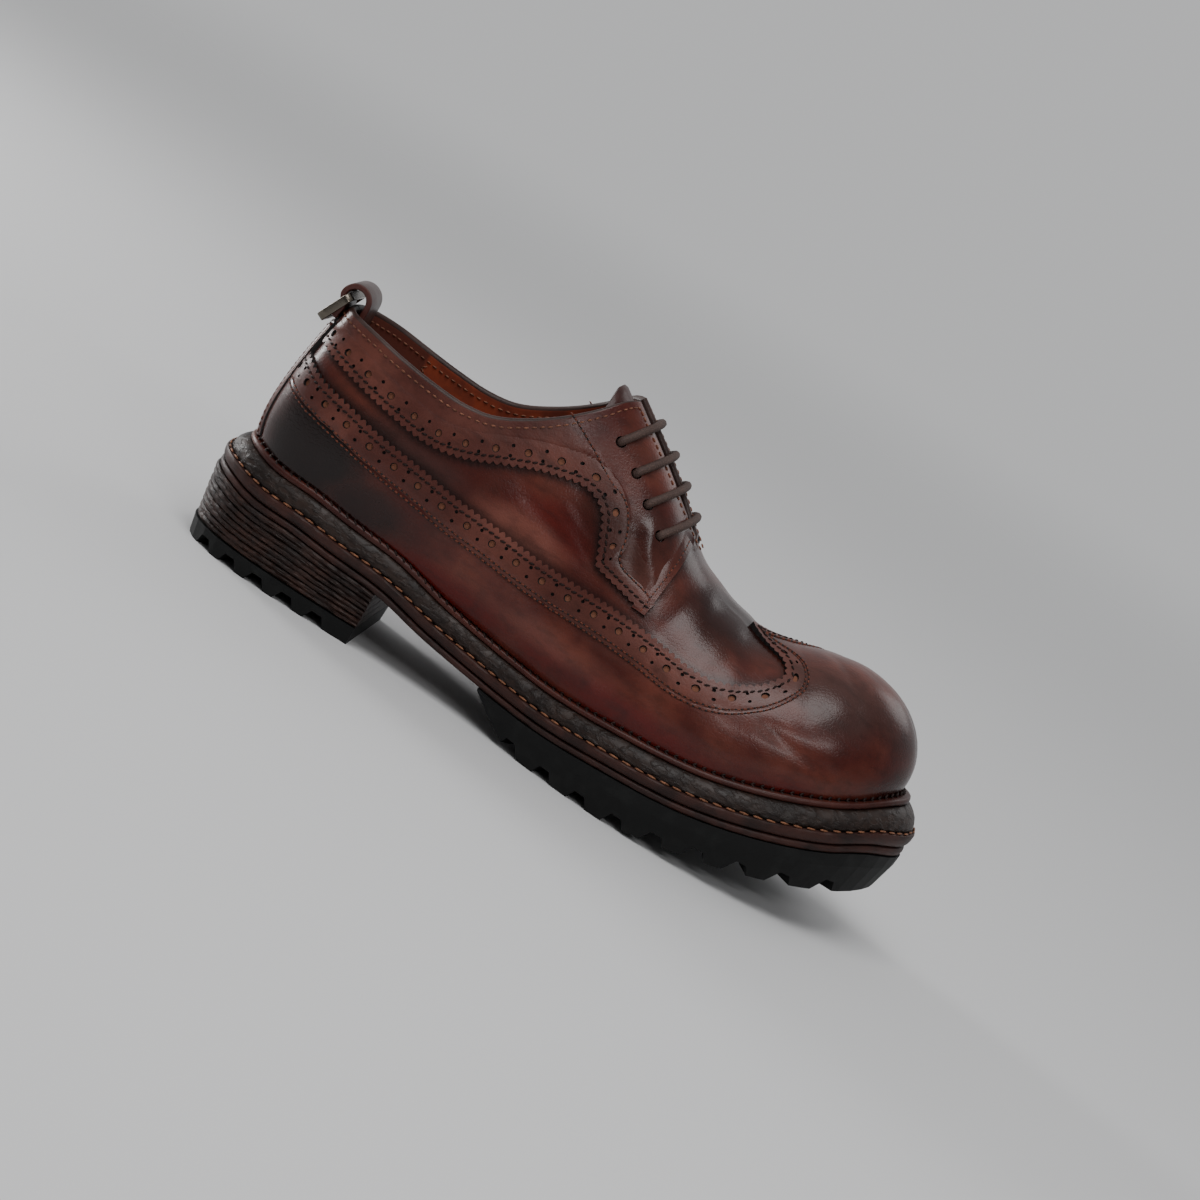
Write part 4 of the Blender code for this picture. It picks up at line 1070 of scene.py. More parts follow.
@dataclass(frozen=True)
class LiningFinish(Finish):
    """Vegetable-tanned lining: orange-red, darker and suede-like at the heel grip."""

    colour: Colour = (0.30, 0.050, 0.016)
    wear_and_highlight: Colour = (0.070, 0.014, 0.008)
    grip_end: float = -0.108

    def paint(self, sheet: Sheet) -> None:
        """Draw the finish on a node sheet."""
        tone = sheet.noise(11.0, 4.0).step(0.35, 0.7)
        grip = sheet.axis("X").step(self.grip_end - 0.001, self.grip_end + 0.001, 1.0, 0.0)
        colour = sheet.mix(tone * 0.7, self.colour, self.wear_and_highlight)
        colour = sheet.mix(grip * 0.8, colour, self.wear_and_highlight)
        nap = sheet.noise(0.8, 4.0)
        sheet.dress(
            Base_Color=colour, Roughness=0.62 + grip * 0.25, Normal=sheet.bump(nap, 0.08, 0.5),
            Sheen_Weight=0.1,
        )


@dataclass(frozen=True)
class EdgeFinish(Finish):
    """Edge of stacked sole leather, inked, waxed and a little rough."""

    colour: Colour = (0.044, 0.015, 0.011)
    dark: Colour = (0.008, 0.005, 0.0045)
    crackle: float = 0.0
    roughness: float = 0.5

    def paint(self, sheet: Sheet) -> None:
        """Draw the finish on a node sheet."""
        fibres = sheet.noise(1.2, 4.0, (0.25, 0.25, 1.6))
        blotch = sheet.noise(14.0, 4.0).step(0.38, 0.66)
        colour = sheet.mix(blotch * 0.65, self.colour, self.dark)
        colour = sheet.mix(fibres.step(0.5, 0.72) * 0.5, colour, self.dark)
        normal = sheet.bump(fibres, 0.22, 0.5)
        if self.crackle:
            cracks = sheet.noise(2.6, 6.0, (0.6, 0.6, 1.2)).step(0.42, 0.62)
            colour = sheet.mix(cracks * 0.5, colour, self.dark)
            normal = sheet.bump(cracks, self.crackle, 0.6, normal)
        sheet.dress(
            Base_Color=colour, Roughness=self.roughness + fibres * 0.12, Normal=normal,
            Coat_Weight=0.03, Coat_Roughness=0.3, Specular_IOR_Level=0.26,
        )


@dataclass(frozen=True)
class RubberFinish(Finish):
    """Black lugged rubber with a fine matt grain."""

    colour: Colour = (0.0045, 0.0047, 0.0046)
    dusty: Colour = (0.013, 0.0135, 0.013)

    def paint(self, sheet: Sheet) -> None:
        """Draw the finish on a node sheet."""
        dust = sheet.noise(8.0, 5.0).step(0.45, 0.75) * 0.6
        grain = sheet.noise(0.7, 3.0)
        sheet.dress(
            Base_Color=sheet.mix(dust, self.colour, self.dusty), Roughness=0.58 + grain * 0.12,
            Normal=sheet.bump(grain, 0.10, 0.5), Specular_IOR_Level=0.25,
        )


@dataclass(frozen=True)
class SteelFinish(Finish):
    """Dark polished gunmetal with fine scratches."""

    colour: Colour = (0.16, 0.14, 0.115)

    def paint(self, sheet: Sheet) -> None:
        """Draw the finish on a node sheet."""
        haze = sheet.noise(3.0, 3.0)
        scratches = sheet.noise(1.1, 2.0, (0.2, 1.0, 3.0))
        darker = tuple(c * 0.55 for c in self.colour)
        sheet.dress(
            Base_Color=sheet.mix(haze, darker, self.colour), Metallic=1.0,
            Roughness=0.20 + haze * 0.12, Normal=sheet.bump(scratches, 0.015, 0.4),
        )


@dataclass(frozen=True)
class LaceFinish(Finish):
    """Round waxed cotton lace."""

    colour: Colour = (0.085, 0.046, 0.035)
    dark: Colour = (0.028, 0.014, 0.011)

    def paint(self, sheet: Sheet) -> None:
        """Draw the finish on a node sheet."""
        weave = sheet.cells(0.75).step(0.1, 0.7)
        fade = sheet.noise(6.0, 3.0).step(0.35, 0.7)
        # painted shade: the braid is darker in its grooves, where the weave bump sinks
        colour = sheet.mix(weave * 0.6, self.colour, self.dark)
        colour = sheet.mix(fade * 0.35, colour, self.dark)
        sheet.dress(Base_Color=colour, Roughness=0.72, Normal=sheet.bump(weave, -0.16, 0.6))


@dataclass(frozen=True)
class FloorFinish(Finish):
    """Plain pale floor."""

    colour: Colour = (0.62, 0.62, 0.625)
    clear: float = 0.45
    gone: float = 2.2

    def paint(self, sheet: Sheet) -> None:
        """Draw the finish on a node sheet."""
        tone = sheet.noise(900.0, 2.0)
        paler = tuple(min(1.0, c * 1.06) for c in self.colour)
        far = sheet.node("ShaderNodeVectorMath", {"operation": "LENGTH"}, {0: sheet.place})
        reach = Value(sheet, far.outputs["Value"])
        sheet.dress(
            Base_Color=sheet.mix(tone, self.colour, paler), Roughness=0.85,
            Alpha=reach.step(self.clear, self.gone, 1.0, 0.0),
        )


LOW_HEEL = Patch((-94.0, -42.0, 50.0), (32.0, 36.0, 13.0), 0.85)
LOW_QUARTER = Patch((10.0, -46.0, 60.0), (34.0, 30.0, 9.0), 0.30)
FACING = Patch((0.0, -28.0, 93.0), (30.0, 36.0, 18.0), 0.60)
HIGH_QUARTER = Patch((-24.0, -34.0, 84.0), (26.0, 40.0, 12.0), 0.6)
# painted sheen on the toe's top
TOE_SHEEN_HAZE = Patch((102.0, -30.0, 84.0), (28.0, 34.0, 16.0), 0.75)
BURNISH = (
    Patch((-124.0, -36.0, 58.0), (36.0, 46.0, 30.0)),
    LOW_HEEL,
    Patch((48.0, -16.0, 84.0), (30.0, 30.0, 22.0), 0.80),
    Patch((24.0, -10.0, 96.0), (22.0, 22.0, 14.0), 0.60),
    Patch((128.0, -6.0, 84.0), (22.0, 34.0, 14.0), 0.55),
    Patch((144.0, -20.0, 60.0), (15.0, 44.0, 22.0), 0.75),
    LOW_QUARTER,
    FACING,
    Patch((-128.0, 30.0, 60.0), (36.0, 40.0, 28.0), 0.8),
)
GLOW = (
    Patch((-62.0, -45.0, 38.0), (62.0, 44.0, 10.0)),
    Patch((30.0, -60.0, 38.0), (82.0, 44.0, 10.0)),
    Patch((116.0, -50.0, 42.0), (44.0, 44.0, 12.0)),
    HIGH_QUARTER,
    Patch((20.0, 60.0, 42.0), (110.0, 44.0, 12.0), 0.8),
)
# painted sheen: grey reflections on the toe's top and the upper heel counter
SHEEN_HAZE = (TOE_SHEEN_HAZE, Patch((-92.0, -40.0, 76.0), (40.0, 34.0, 10.0), 0.6))
# painted highlights on the quarter, the low medial side and the wing's front
PAINTED_HIGHLIGHTS = (
    Patch((-36.0, -40.0, 74.0), (26.0, 34.0, 9.0), 0.7),
    Patch((0.0, -55.0, 46.0), (40.0, 34.0, 7.0), 0.35),
    Patch((30.0, -45.0, 62.0), (44.0, 34.0, 10.0), 0.5),
)
CALF = CalfFinish("calf", burnish=BURNISH, glow=GLOW, haze=SHEEN_HAZE, highlight_and_wear_patches=PAINTED_HIGHLIGHTS)
# the band carries the same painted highlights and painted toe sheen as the calf
BAND = CalfFinish(
    "band", base=(0.068, 0.017, 0.012), light=(0.135, 0.042, 0.030), roughness=0.38,
    burnish=(LOW_HEEL, LOW_QUARTER, FACING), glow=(HIGH_QUARTER,), haze=(TOE_SHEEN_HAZE,), highlight_and_wear_patches=PAINTED_HIGHLIGHTS,
)
CUT = CutFinish("cut_edge", colour=(0.0080, 0.0040, 0.0035))
TAN = CutFinish("hole_bottom", colour=(0.25, 0.088, 0.044), roughness=0.8)
BINDING = CalfFinish(
    "binding", base=(0.032, 0.014, 0.011), light=(0.062, 0.034, 0.028), roughness=0.5, wax=0.05,
)
LINING = LiningFinish("lining")
DARK_THREAD = ThreadFinish("dark_thread", colour=(0.020, 0.0072, 0.0052), roughness=0.6)
RUST_THREAD = ThreadFinish("rust_thread", colour=(0.165, 0.046, 0.026))
TAN_THREAD = ThreadFinish("tan_thread", colour=(0.26, 0.105, 0.062))
SOLE_THREAD = ThreadFinish("sole_thread", colour=(0.27, 0.115, 0.060))
BROWN_EDGE = EdgeFinish("brown_edge")
GREY_EDGE = EdgeFinish(
    "grey_edge", colour=(0.028, 0.016, 0.012), dark=(0.0050, 0.0029, 0.0024), crackle=0.5,
    roughness=0.40,
)
HEEL_EDGE = EdgeFinish("heel_edge", colour=(0.040, 0.018, 0.013), crackle=0.20, roughness=0.52)
# the rand is lighter in one patch at the back of the heel
RAND_RED = CalfFinish(
    "rand", base=(0.034, 0.0060, 0.0040), light=(0.075, 0.017, 0.010), roughness=0.46, wax=0.05,
    wear_and_highlight=(0.24, 0.075, 0.032), highlight_and_wear_patches=(Patch((-152.0, -6.0, 30.0), (15.0, 34.0, 20.0)),),
)
LOOP = CalfFinish("loop", base=(0.036, 0.013, 0.010), light=(0.066, 0.028, 0.023), roughness=0.36)
LOOP_SIDE = CutFinish("loop_side", colour=(0.085, 0.016, 0.010), roughness=0.5)
TONGUE = CalfFinish("tongue", base=(0.040, 0.008, 0.006), light=(0.060, 0.014, 0.010), roughness=0.45)
RUBBER = RubberFinish("rubber")
STEEL = SteelFinish("gunmetal")
LACE = LaceFinish("lace")
FLOOR = FloorFinish("floor")


@dataclass
class Seams:
    """The lines on the last that the panels end at."""

    sizes: ShoeSizes
    skin: Skin
    wing_rows: Rows = (
        (-0.020, 0.812), (0.034, 0.800), (0.070, 0.762), (0.122, 0.738), (0.171, 0.712),
        (0.245, 0.688), (0.294, 0.668), (0.368, 0.652), (0.416, 0.640), (0.468, 0.638),
        (0.521, 0.642), (0.576, 0.636), (0.616, 0.625), (0.641, 0.616), (0.682, 0.619),
        (0.706, 0.640), (0.737, 0.684),
    )
    wing_front: Rows = ((0.753, 0.716), (0.760, 0.760))
    peak_rows: Rows = (
        (0.760, -0.300), (0.746, -0.206), (0.720, -0.150), (0.697, -0.108), (0.682, -0.072),
        (0.697, -0.032), (0.720, 0.012), (0.746, 0.075), (0.760, 0.180),
    )
    facing_rows: Rows = (
        (-0.020, 0.868), (0.037, 0.862), (0.070, 0.842), (0.122, 0.812), (0.171, 0.788),
        (0.223, 0.772), (0.250, 0.778), (0.276, 0.797), (0.320, 0.850), (0.368, 0.904),
        (0.394, 0.922), (0.418, 0.934), (0.442, 0.918), (0.460, 0.872), (0.468, 0.824),
        (0.479, 0.768), (0.483, 0.728), (0.569, 0.676),
    )
    facing_low: float = 28.0
    facing_front: Rows = ((0.571, 0.790), (0.571, 0.890), (0.565, 0.956), (0.557, 1.060))

    def side_view(self, rows: Rows) -> list[tuple[float, float]]:
        """Rows of shares as millimetres in the side view."""
        return [(float(self.sizes.along(x)), z * self.sizes.collar) for x, z in rows]

    def plan(self, rows: Rows) -> list[tuple[float, float]]:
        """Rows of shares as millimetres in plan."""
        return [(float(self.sizes.along(x)), y * self.sizes.ball) for x, y in rows]

    @staticmethod
    def fill(rows: Sequence[tuple[float, float]], step: float = 2.0) -> list[tuple[float, float]]:
        """A smooth line through rows, in steps of about step millimetres."""
        points = np.array(rows)
        run = run_along(points)
        even = np.linspace(0.0, run[-1], max(2, int(run[-1] / step)))
        curve = [read_rows(list(zip(run, points[:, k])), 1, even) for k in (0, 1)]
        return list(zip(*[c.tolist() for c in curve]))

    def wing(self) -> Route:
        """Upper edge of the wing cap, from the medial heel round the peak to the lateral heel."""
        line = self.fill(self.side_view(self.wing_rows))
        medial = self.skin.from_side(line, Side.MEDIAL)
        lateral = self.skin.from_side(line, Side.LATERAL)[::-1]
        peak = self.skin.from_above(self.fill(self.plan(self.peak_rows), 1.5))
        points = np.vstack((medial, peak[3:-3], lateral))
        return Route.on_skin(self.skin, points, -1.0, soften=2, spread=5)

    def facing(self, side: Side) -> Route:
        """Lower edge of a collar band and facing, from the heel down to its front corner."""
        line = self.fill(self.side_view(self.facing_rows[:-2])) + self.side_view(self.facing_rows[-2:])
        points = self.skin.from_side(line, side)
        return Route.on_skin(self.skin, points, -side.value * 1.0, soften=2, spread=12)

    def front(self, side: Side) -> Route:
        """Front edge of a facing, from its lower corner up to the throat."""
        line = self.side_view(self.facing_rows[-1:] + self.facing_front)
        points = self.skin.from_side(self.fill(line), side)
        route = Route.on_skin(self.skin, points, -side.value * 1.0, soften=3, spread=3)
        edge = self.topline(side).spots
        far = [float(np.linalg.norm(edge - spot, axis=1).min()) for spot in route.spots]
        return route.part(0.0, float(route.run[np.argmin(far)]) - 1.0)

    def wing_widths(self, wing: Route) -> Rows:
        """Share of its full width that the wing's band has along its run: narrow at the peak."""
        front = (wing.spots[:, 2] > 70.0) & (wing.spots[:, 0] > 40.0)
        index = np.flatnonzero(front & (np.abs(wing.spots[:, 1] + 8.4) < 14.0))
        tip = float(wing.run[index[np.argmin(wing.spots[index, 0])]] / wing.length)
        half = ((0.02, 0.46), (0.05, 0.70), (0.085, 0.85), (0.14, 0.98), (0.19, 1.0), (0.24, 1.0))
        before = tuple((tip - far, width) for far, width in reversed(half))
        after = tuple((tip + far, width) for far, width in half)
        return ((0.0, 1.0),) + before + ((tip, 0.34),) + after + ((1.0, 1.0),)

    def facing_widths(self, facing: Route) -> Rows:
        """Share of its full width that a facing's band has along its run: narrow at its lower end."""
        corner = 1 - self.facing_low / facing.length
        return (
            (0.0, 1.0), (corner - 0.08, 1.0), (corner - 0.03, 0.97), (corner + 0.02, 0.70),
            (corner + 0.05, 0.62), (0.985, 0.60), (1.0, 0.52),
        )

    def topline(self, side: Side) -> Route:
        """Edge of the opening from the heel round to the throat's end, in counts as down."""
        shares = np.linspace(0.0, 1.0, 900)
        top = self.skin.last.top(shares, side.value)
        keep = top < 0.9995
        points = self.skin.last.surface(shares[keep], side.value, top[keep])
        return Route.on_skin(self.skin, points, side.value * 1.0, soften=3, spread=8)

    def in_wing(self, spots: np.ndarray) -> np.ndarray:
        """Whether places are under the wing cap."""
        ceiling = 3 * self.sizes.collar
        edge = self.side_view(tuple(self.wing_rows) + tuple(self.wing_front))
        above = inside(edge + [(edge[-1][0], ceiling), (edge[0][0], ceiling)], spots[:, 0], spots[:, 2])
        peak = self.plan(self.peak_rows)
        back, wide = float(self.sizes.along(-0.1)), self.sizes.ball
        behind = inside(
            [(back, -wide), (peak[0][0], -wide)] + peak + [(peak[-1][0], wide), (back, wide)],
            spots[:, 0], spots[:, 1],
        )
        return ~(above & behind)

    def in_facing(self, spots: np.ndarray) -> np.ndarray:
        """Whether places are under a facing or collar band."""
        edge = self.side_view(tuple(self.facing_rows) + tuple(self.facing_front))
        ceiling = 2 * self.sizes.collar
        return inside(edge + [(edge[-1][0], ceiling), (edge[0][0], ceiling)], spots[:, 0], spots[:, 2])


@dataclass(frozen=True)
class Fold:
    """A soft trough (or ridge, if its depth is negative) along a line in the side view."""

    rows: Rows
    depth: float
    width: float
    side: Side = Side.MEDIAL


@dataclass
class UpperPiece:
    """The lasted upper: outer leather, rolled topline and lining as one wall.

    The leather under a band's inner edge starts to rise at the first distance in ramp before that
    edge and is level with the band at the second. A fold's rows are (x, z) in the side view.
    """

    sizes: ShoeSizes
    last: Last
    skin: Skin
    seams: Seams
    columns: int = 215
    rows: int = 72
    rim_steps: int = 6
    pole_columns: int = 5
    ramp: tuple[float, float] = (3.6, 0.9)
    eyelets: Rows = ((-22.7, 121.6), (-11.2, 114.6), (-1.0, 107.0), (9.2, 99.4))
    eyelet_radius: float = 2.3
    shade_reach: float = 2.3
    collar_end: tuple[float, float] = (-45.0, 121.0)
    collar_slope: float = 1.8
    folds: tuple[Fold, ...] = (
        Fold(((18.0, 84.0), (10.0, 92.0), (6.0, 100.0)), -0.9, 3.0),
        Fold(((12.0, 80.0), (5.0, 88.0), (1.0, 96.0)), 0.7, 3.2),
        Fold(((40.0, 70.0), (44.0, 80.0), (47.0, 90.0)), 0.9, 7.0),
        Fold(((56.0, 70.0), (58.0, 78.0), (59.0, 88.0)), 0.5, 5.0),
        Fold(((30.0, 72.0), (33.0, 82.0), (35.0, 92.0)), 0.5, 4.0),
        Fold(((-20.0, 76.0), (-32.0, 84.0), (-44.0, 90.0)), 0.5, 5.0),
        Fold(((-4.0, 76.0), (-16.0, 88.0), (-26.0, 100.0)), 0.45, 4.0),
        Fold(((-60.0, 52.0), (-40.0, 50.0), (-20.0, 46.0)), 0.8, 8.0),
        Fold(((4.0, 52.0), (22.0, 50.0), (40.0, 47.0)), 0.6, 7.0),
        Fold(((84.0, 62.5), (98.0, 61.0), (113.0, 60.5)), 0.55, 3.2),
        Fold(((-38.0, 91.0), (-22.0, 86.0), (-8.0, 80.0)), 0.35, 1.9),
        Fold(((-40.0, 86.0), (-24.0, 81.5), (-10.0, 76.0)), 0.35, 1.9),
        Fold(((-34.0, 95.5), (-20.0, 91.0), (-8.0, 86.0)), 0.30, 1.9),
        Fold(((40.0, 70.0), (44.0, 80.0), (47.0, 90.0)), 0.8, 7.0, Side.LATERAL),
        Fold(((56.0, 70.0), (58.0, 78.0), (59.0, 88.0)), 0.5, 5.0, Side.LATERAL),
        Fold(((10.0, 60.0), (24.0, 56.0), (40.0, 52.0)), 0.6, 7.0, Side.LATERAL),
    )

    def tree_of(self, spots: np.ndarray) -> KDTree:
        """Search tree of places."""
        tree = KDTree(len(spots))
        for k, spot in enumerate(spots.tolist()):
            tree.insert(spot, k)
        tree.balance()
        return tree

    def overlays(self, spots: np.ndarray) -> list[tuple[np.ndarray, np.ndarray, np.ndarray]]:
        """For each overlay its edge, the width of the band along it, and which places it covers."""
        wing = self.seams.wing()
        widths = WING_PUNCHING.width * read_rows(self.seams.wing_widths(wing), 1, wing.run / wing.length)
        lines = [(wing.spots, widths, self.seams.in_wing(spots))]
        covered = self.seams.in_facing(spots)
        for side in Side:
            on_side = covered & (np.sign(spots[:, 1] - self.sizes.heel_centre) == side.value)
            facing, front = self.seams.facing(side), self.seams.front(side)
            share = facing.run / facing.length
            widths = np.concatenate((
                FACING_PUNCHING.width * read_rows(self.seams.facing_widths(facing), 1, share),
                np.full(len(front.spots), FRONT_STRIP.width),
            ))
            lines.append((np.vstack((facing.spots, front.spots)), widths, on_side))
        return lines

    def lift(self, spots: np.ndarray) -> tuple[np.ndarray, np.ndarray]:
        """Shape of the outer face over the last.

        Args:
            spots: places on the last.

        Returns:
            How far the face stands off there, and how near the foot of an overlay's edge it is, which the
            calf darkens as painted shade.
        """
        rise = np.zeros(len(spots))
        shade = np.zeros(len(spots))
        for edge, widths, mask in self.overlays(spots):
            tree = self.tree_of(edge)
            found = [tree.find(spot) for spot in spots.tolist()]
            nearest = np.array([hit[1] for hit in found])
            far = np.array([hit[2] for hit in found])
            width = widths[nearest]
            raised = self.sizes.overlay * ease(far, width - self.ramp[0], width - self.ramp[1])
            rise[mask] = np.maximum(rise, raised)[mask]
            shade = np.maximum(shade, np.exp(-(far / self.shade_reach) ** 2))
        for fold in self.folds:
            line = self.skin.from_side(self.seams.fill(list(fold.rows), 1.0), fold.side)
            tree = self.tree_of(line)
            close = np.abs(spots[:, 0] - line[:, 0].mean()) < 60
            index = np.flatnonzero(close)
            far = np.array([tree.find(spots[k])[2] for k in index])
            rise[index] -= fold.depth * np.exp(-(far / fold.width) ** 2)
        return rise, shade

    def mesh(self) -> bmesh.types.BMesh:
        """The closed wall; its faces carry 0 for leather, 1 for lining and 2 for the topline."""
        shares = stations(self.columns)
        outer, inner, opened = [], [], []
        for side in (-1, 1):
            top = self.last.top(shares, side)
            share, step = np.meshgrid(shares, np.linspace(0, 1, self.rows + 1), indexing="ij")
            spots = self.last.surface(share, side, step * top[:, None])
            order = slice(None, None, -1) if side < 0 else slice(1, None)
            outer.append(spots[order])
            opened.append((top < 0.9999)[order])
        spots = np.concatenate(outer)
        spots[0] = spots[-1] = (spots[1] + spots[-2]) / 2
        opened = np.concatenate(opened)
        flat = spots.reshape(-1, 3)
        _, out = self.skin.lay(flat)
        out = self.smooth_toe(out.reshape(spots.shape))
        rise, shade = self.lift(flat)
        face = spots + out * rise.reshape(spots.shape[:2])[..., None]
        back = spots - out * self.sizes.wall
        low = self.last.footprint.feather(face[:, 0, 0]) + FIT
        face[:, 0, 2] = low
        back[:, 0, 2] = low
        for wall in (face, back):
            wall[~opened, -1] = ((wall[:, -1] + wall[::-1, -1]) / 2)[~opened]
        rim_out, rim_in = face[:, -1], back[:, -1]
        middle, half = (rim_out + rim_in) / 2, (rim_out - rim_in) / 2
        radius = np.linalg.norm(half, axis=1, keepdims=True)
        up = unit(face[:, -1] - face[:, -2])
        up = unit(up - unit(half) * np.sum(up * unit(half), axis=1, keepdims=True))
        rim = []
        for k in range(1, self.rim_steps):
            angle = math.pi * k / self.rim_steps
            rim.append(middle + half * math.cos(angle) + up * radius * math.sin(angle) * 0.9)
        rim = np.stack(rim, axis=1)
        rim[~opened] = rim_out[~opened][:, None]
        whole = np.concatenate((back[:, :1], face, rim, back[:, ::-1]), axis=1)
        shades = np.zeros(whole.shape[:2])
        shades[:, 1:self.rows + 2] = shade.reshape(spots.shape[:2])
        return self.close_wall(whole, shades, opened)

    def smooth_toe(self, out: np.ndarray) -> np.ndarray:
        """Even out the face's directions where the two sides of the grid meet at the toe.

        Args:
            out: direction out of the last at each place of the grid.

        Returns:
            The same grid, alike on both sides of the toe.
        """
        near = self.pole_columns
        out[:near, -2:] = out[near, -2:]
        out[-near:, -2:] = out[-near - 1, -2:]
        out[0] = out[-1] = unit(out[1] + out[-2])
        return out

    def close_wall(self, whole: np.ndarray, shades: np.ndarray, opened: np.ndarray) -> bmesh.types.BMesh:
        """Weld the wall's grid into a closed skin, without the rim where the upper is closed.

        Args:
            whole: grid of places, columns round the shoe.
            shades: how near the foot of an overlay's edge each place is.
            opened: which columns end in an opening.

        Returns:
            The closed mesh.
        """
        bm, i, j = flat_grid(*whole.shape[:2])
        rim_start, rim_end = self.rows + 1, self.rows + 1 + self.rim_steps
        gone = []
        bm.verts.index_update()
        for face in bm.faces:
            corners = [vertex.index for vertex in face.verts]
            row = min(j[k] for k in corners)
            column = min(i[k] for k in corners)
            if row < rim_start:
                face.material_index = 0
            elif row < rim_end:
                face.material_index = 2
                if not (opened[column] or opened[column + 1]):
                    gone.append(face)
            else:
                face.material_index = 1
        set_places(bm, whole[i, j])
        # painted shade: nearness to an overlay's edge, stored for the calf to darken
        layer = bm.verts.layers.float.new(SEAM_SHADE_LAYER)
        for vertex, shade in zip(bm.verts, shades[i, j].tolist()):
            vertex[layer] = shade
        self.mark_collar(bm)
        bmesh.ops.delete(bm, geom=gone, context="FACES")
        bmesh.ops.remove_doubles(bm, verts=bm.verts, dist=0.002)
        loose = [vertex for vertex in bm.verts if not vertex.link_faces]
        bmesh.ops.delete(bm, geom=loose, context="VERTS")
        face_outwards(bm)
        return bm

    def mark_collar(self, bm: bmesh.types.BMesh) -> None:
        """Give the outer leather above the collar bands their finish, number 3."""
        outer = [face for face in bm.faces if face.material_index == 0]
        middles = np.array([face.calc_center_median()[:] for face in outer])
        end = self.collar_end[0] + (self.collar_end[1] - middles[:, 2]) * self.collar_slope
        covered = self.seams.in_facing(middles) & (middles[:, 0] < end)
        for face, inside_band in zip(outer, covered):
            if inside_band:
                face.material_index = 3

    def eyelet_places(self) -> list[dict[Side, tuple[Vector, Vector]]]:
        """Place and outward direction of each eyelet, row by row from the top."""
        places = []
        for x, z in self.eyelets:
            row = {}
            for side in Side:
                spot = self.skin.from_side(((x, z),), side)
                spots, out = self.skin.lay(spot)
                row[side] = (Vector(spots[0]), Vector(out[0]))
            places.append(row)
        return places

    def punch(self, item: bpy.types.Object) -> None:
        """Punch the lace holes through the wall."""
        bm = bmesh.new()
        for row in self.eyelet_places():
            for spot, out in row.values():
                turn = out.to_track_quat("Z", "Y").to_matrix().to_4x4()
                bmesh.ops.create_cone(
                    bm, cap_ends=True, segments=20, radius1=self.eyelet_radius,
                    radius2=self.eyelet_radius, depth=10.0, matrix=Matrix.Translation(spot) @ turn,
                )
        bmesh.ops.scale(bm, vec=(MM, MM, MM), verts=bm.verts)
        mesh = bpy.data.meshes.new("punch")
        bm.to_mesh(mesh)
        bm.free()
        mesh.materials.append(CUT.material())
        cutter = bpy.data.objects.new("punch", mesh)
        bpy.context.scene.collection.objects.link(cutter)
        modifier = item.modifiers.new("punch", "BOOLEAN")
        modifier.operation = "DIFFERENCE"
        modifier.solver = "EXACT"
        modifier.material_mode = "TRANSFER"
        modifier.object = cutter
        cut = bpy.data.meshes.new_from_object(item.evaluated_get(bpy.context.evaluated_depsgraph_get()))
        cut.name = item.name
        item.modifiers.remove(modifier)
        item.data = cut
        bpy.data.objects.remove(cutter, do_unlink=True)

    def build(self, bench: Bench) -> None:
        """Make the upper."""
        finishes = [CALF, LINING, BINDING, BAND]
        item = bench.finish("upper_leather", self.mesh(), finishes, "upper_leather", ["upper"])
        self.punch(item)


@dataclass(frozen=True)
class Punching:
    """Pattern of a brogued band: teeth along its edge, and holes in rows."""

    cell: float = 12.0
    tooth: float = 3.0
    tooth_height: float = 1.45
    width: float = 13.0
    row: float = 6.1
    big: float = 1.55
    small: float = 0.72
    apart: float = 1.9
    depth: float = 1.1


WING_PUNCHING = Punching()
FACING_PUNCHING = Punching(width=11.5, row=5.6, big=1.5, tooth=2.8, tooth_height=1.3)
FRONT_STRIP = Punching(width=6.0)


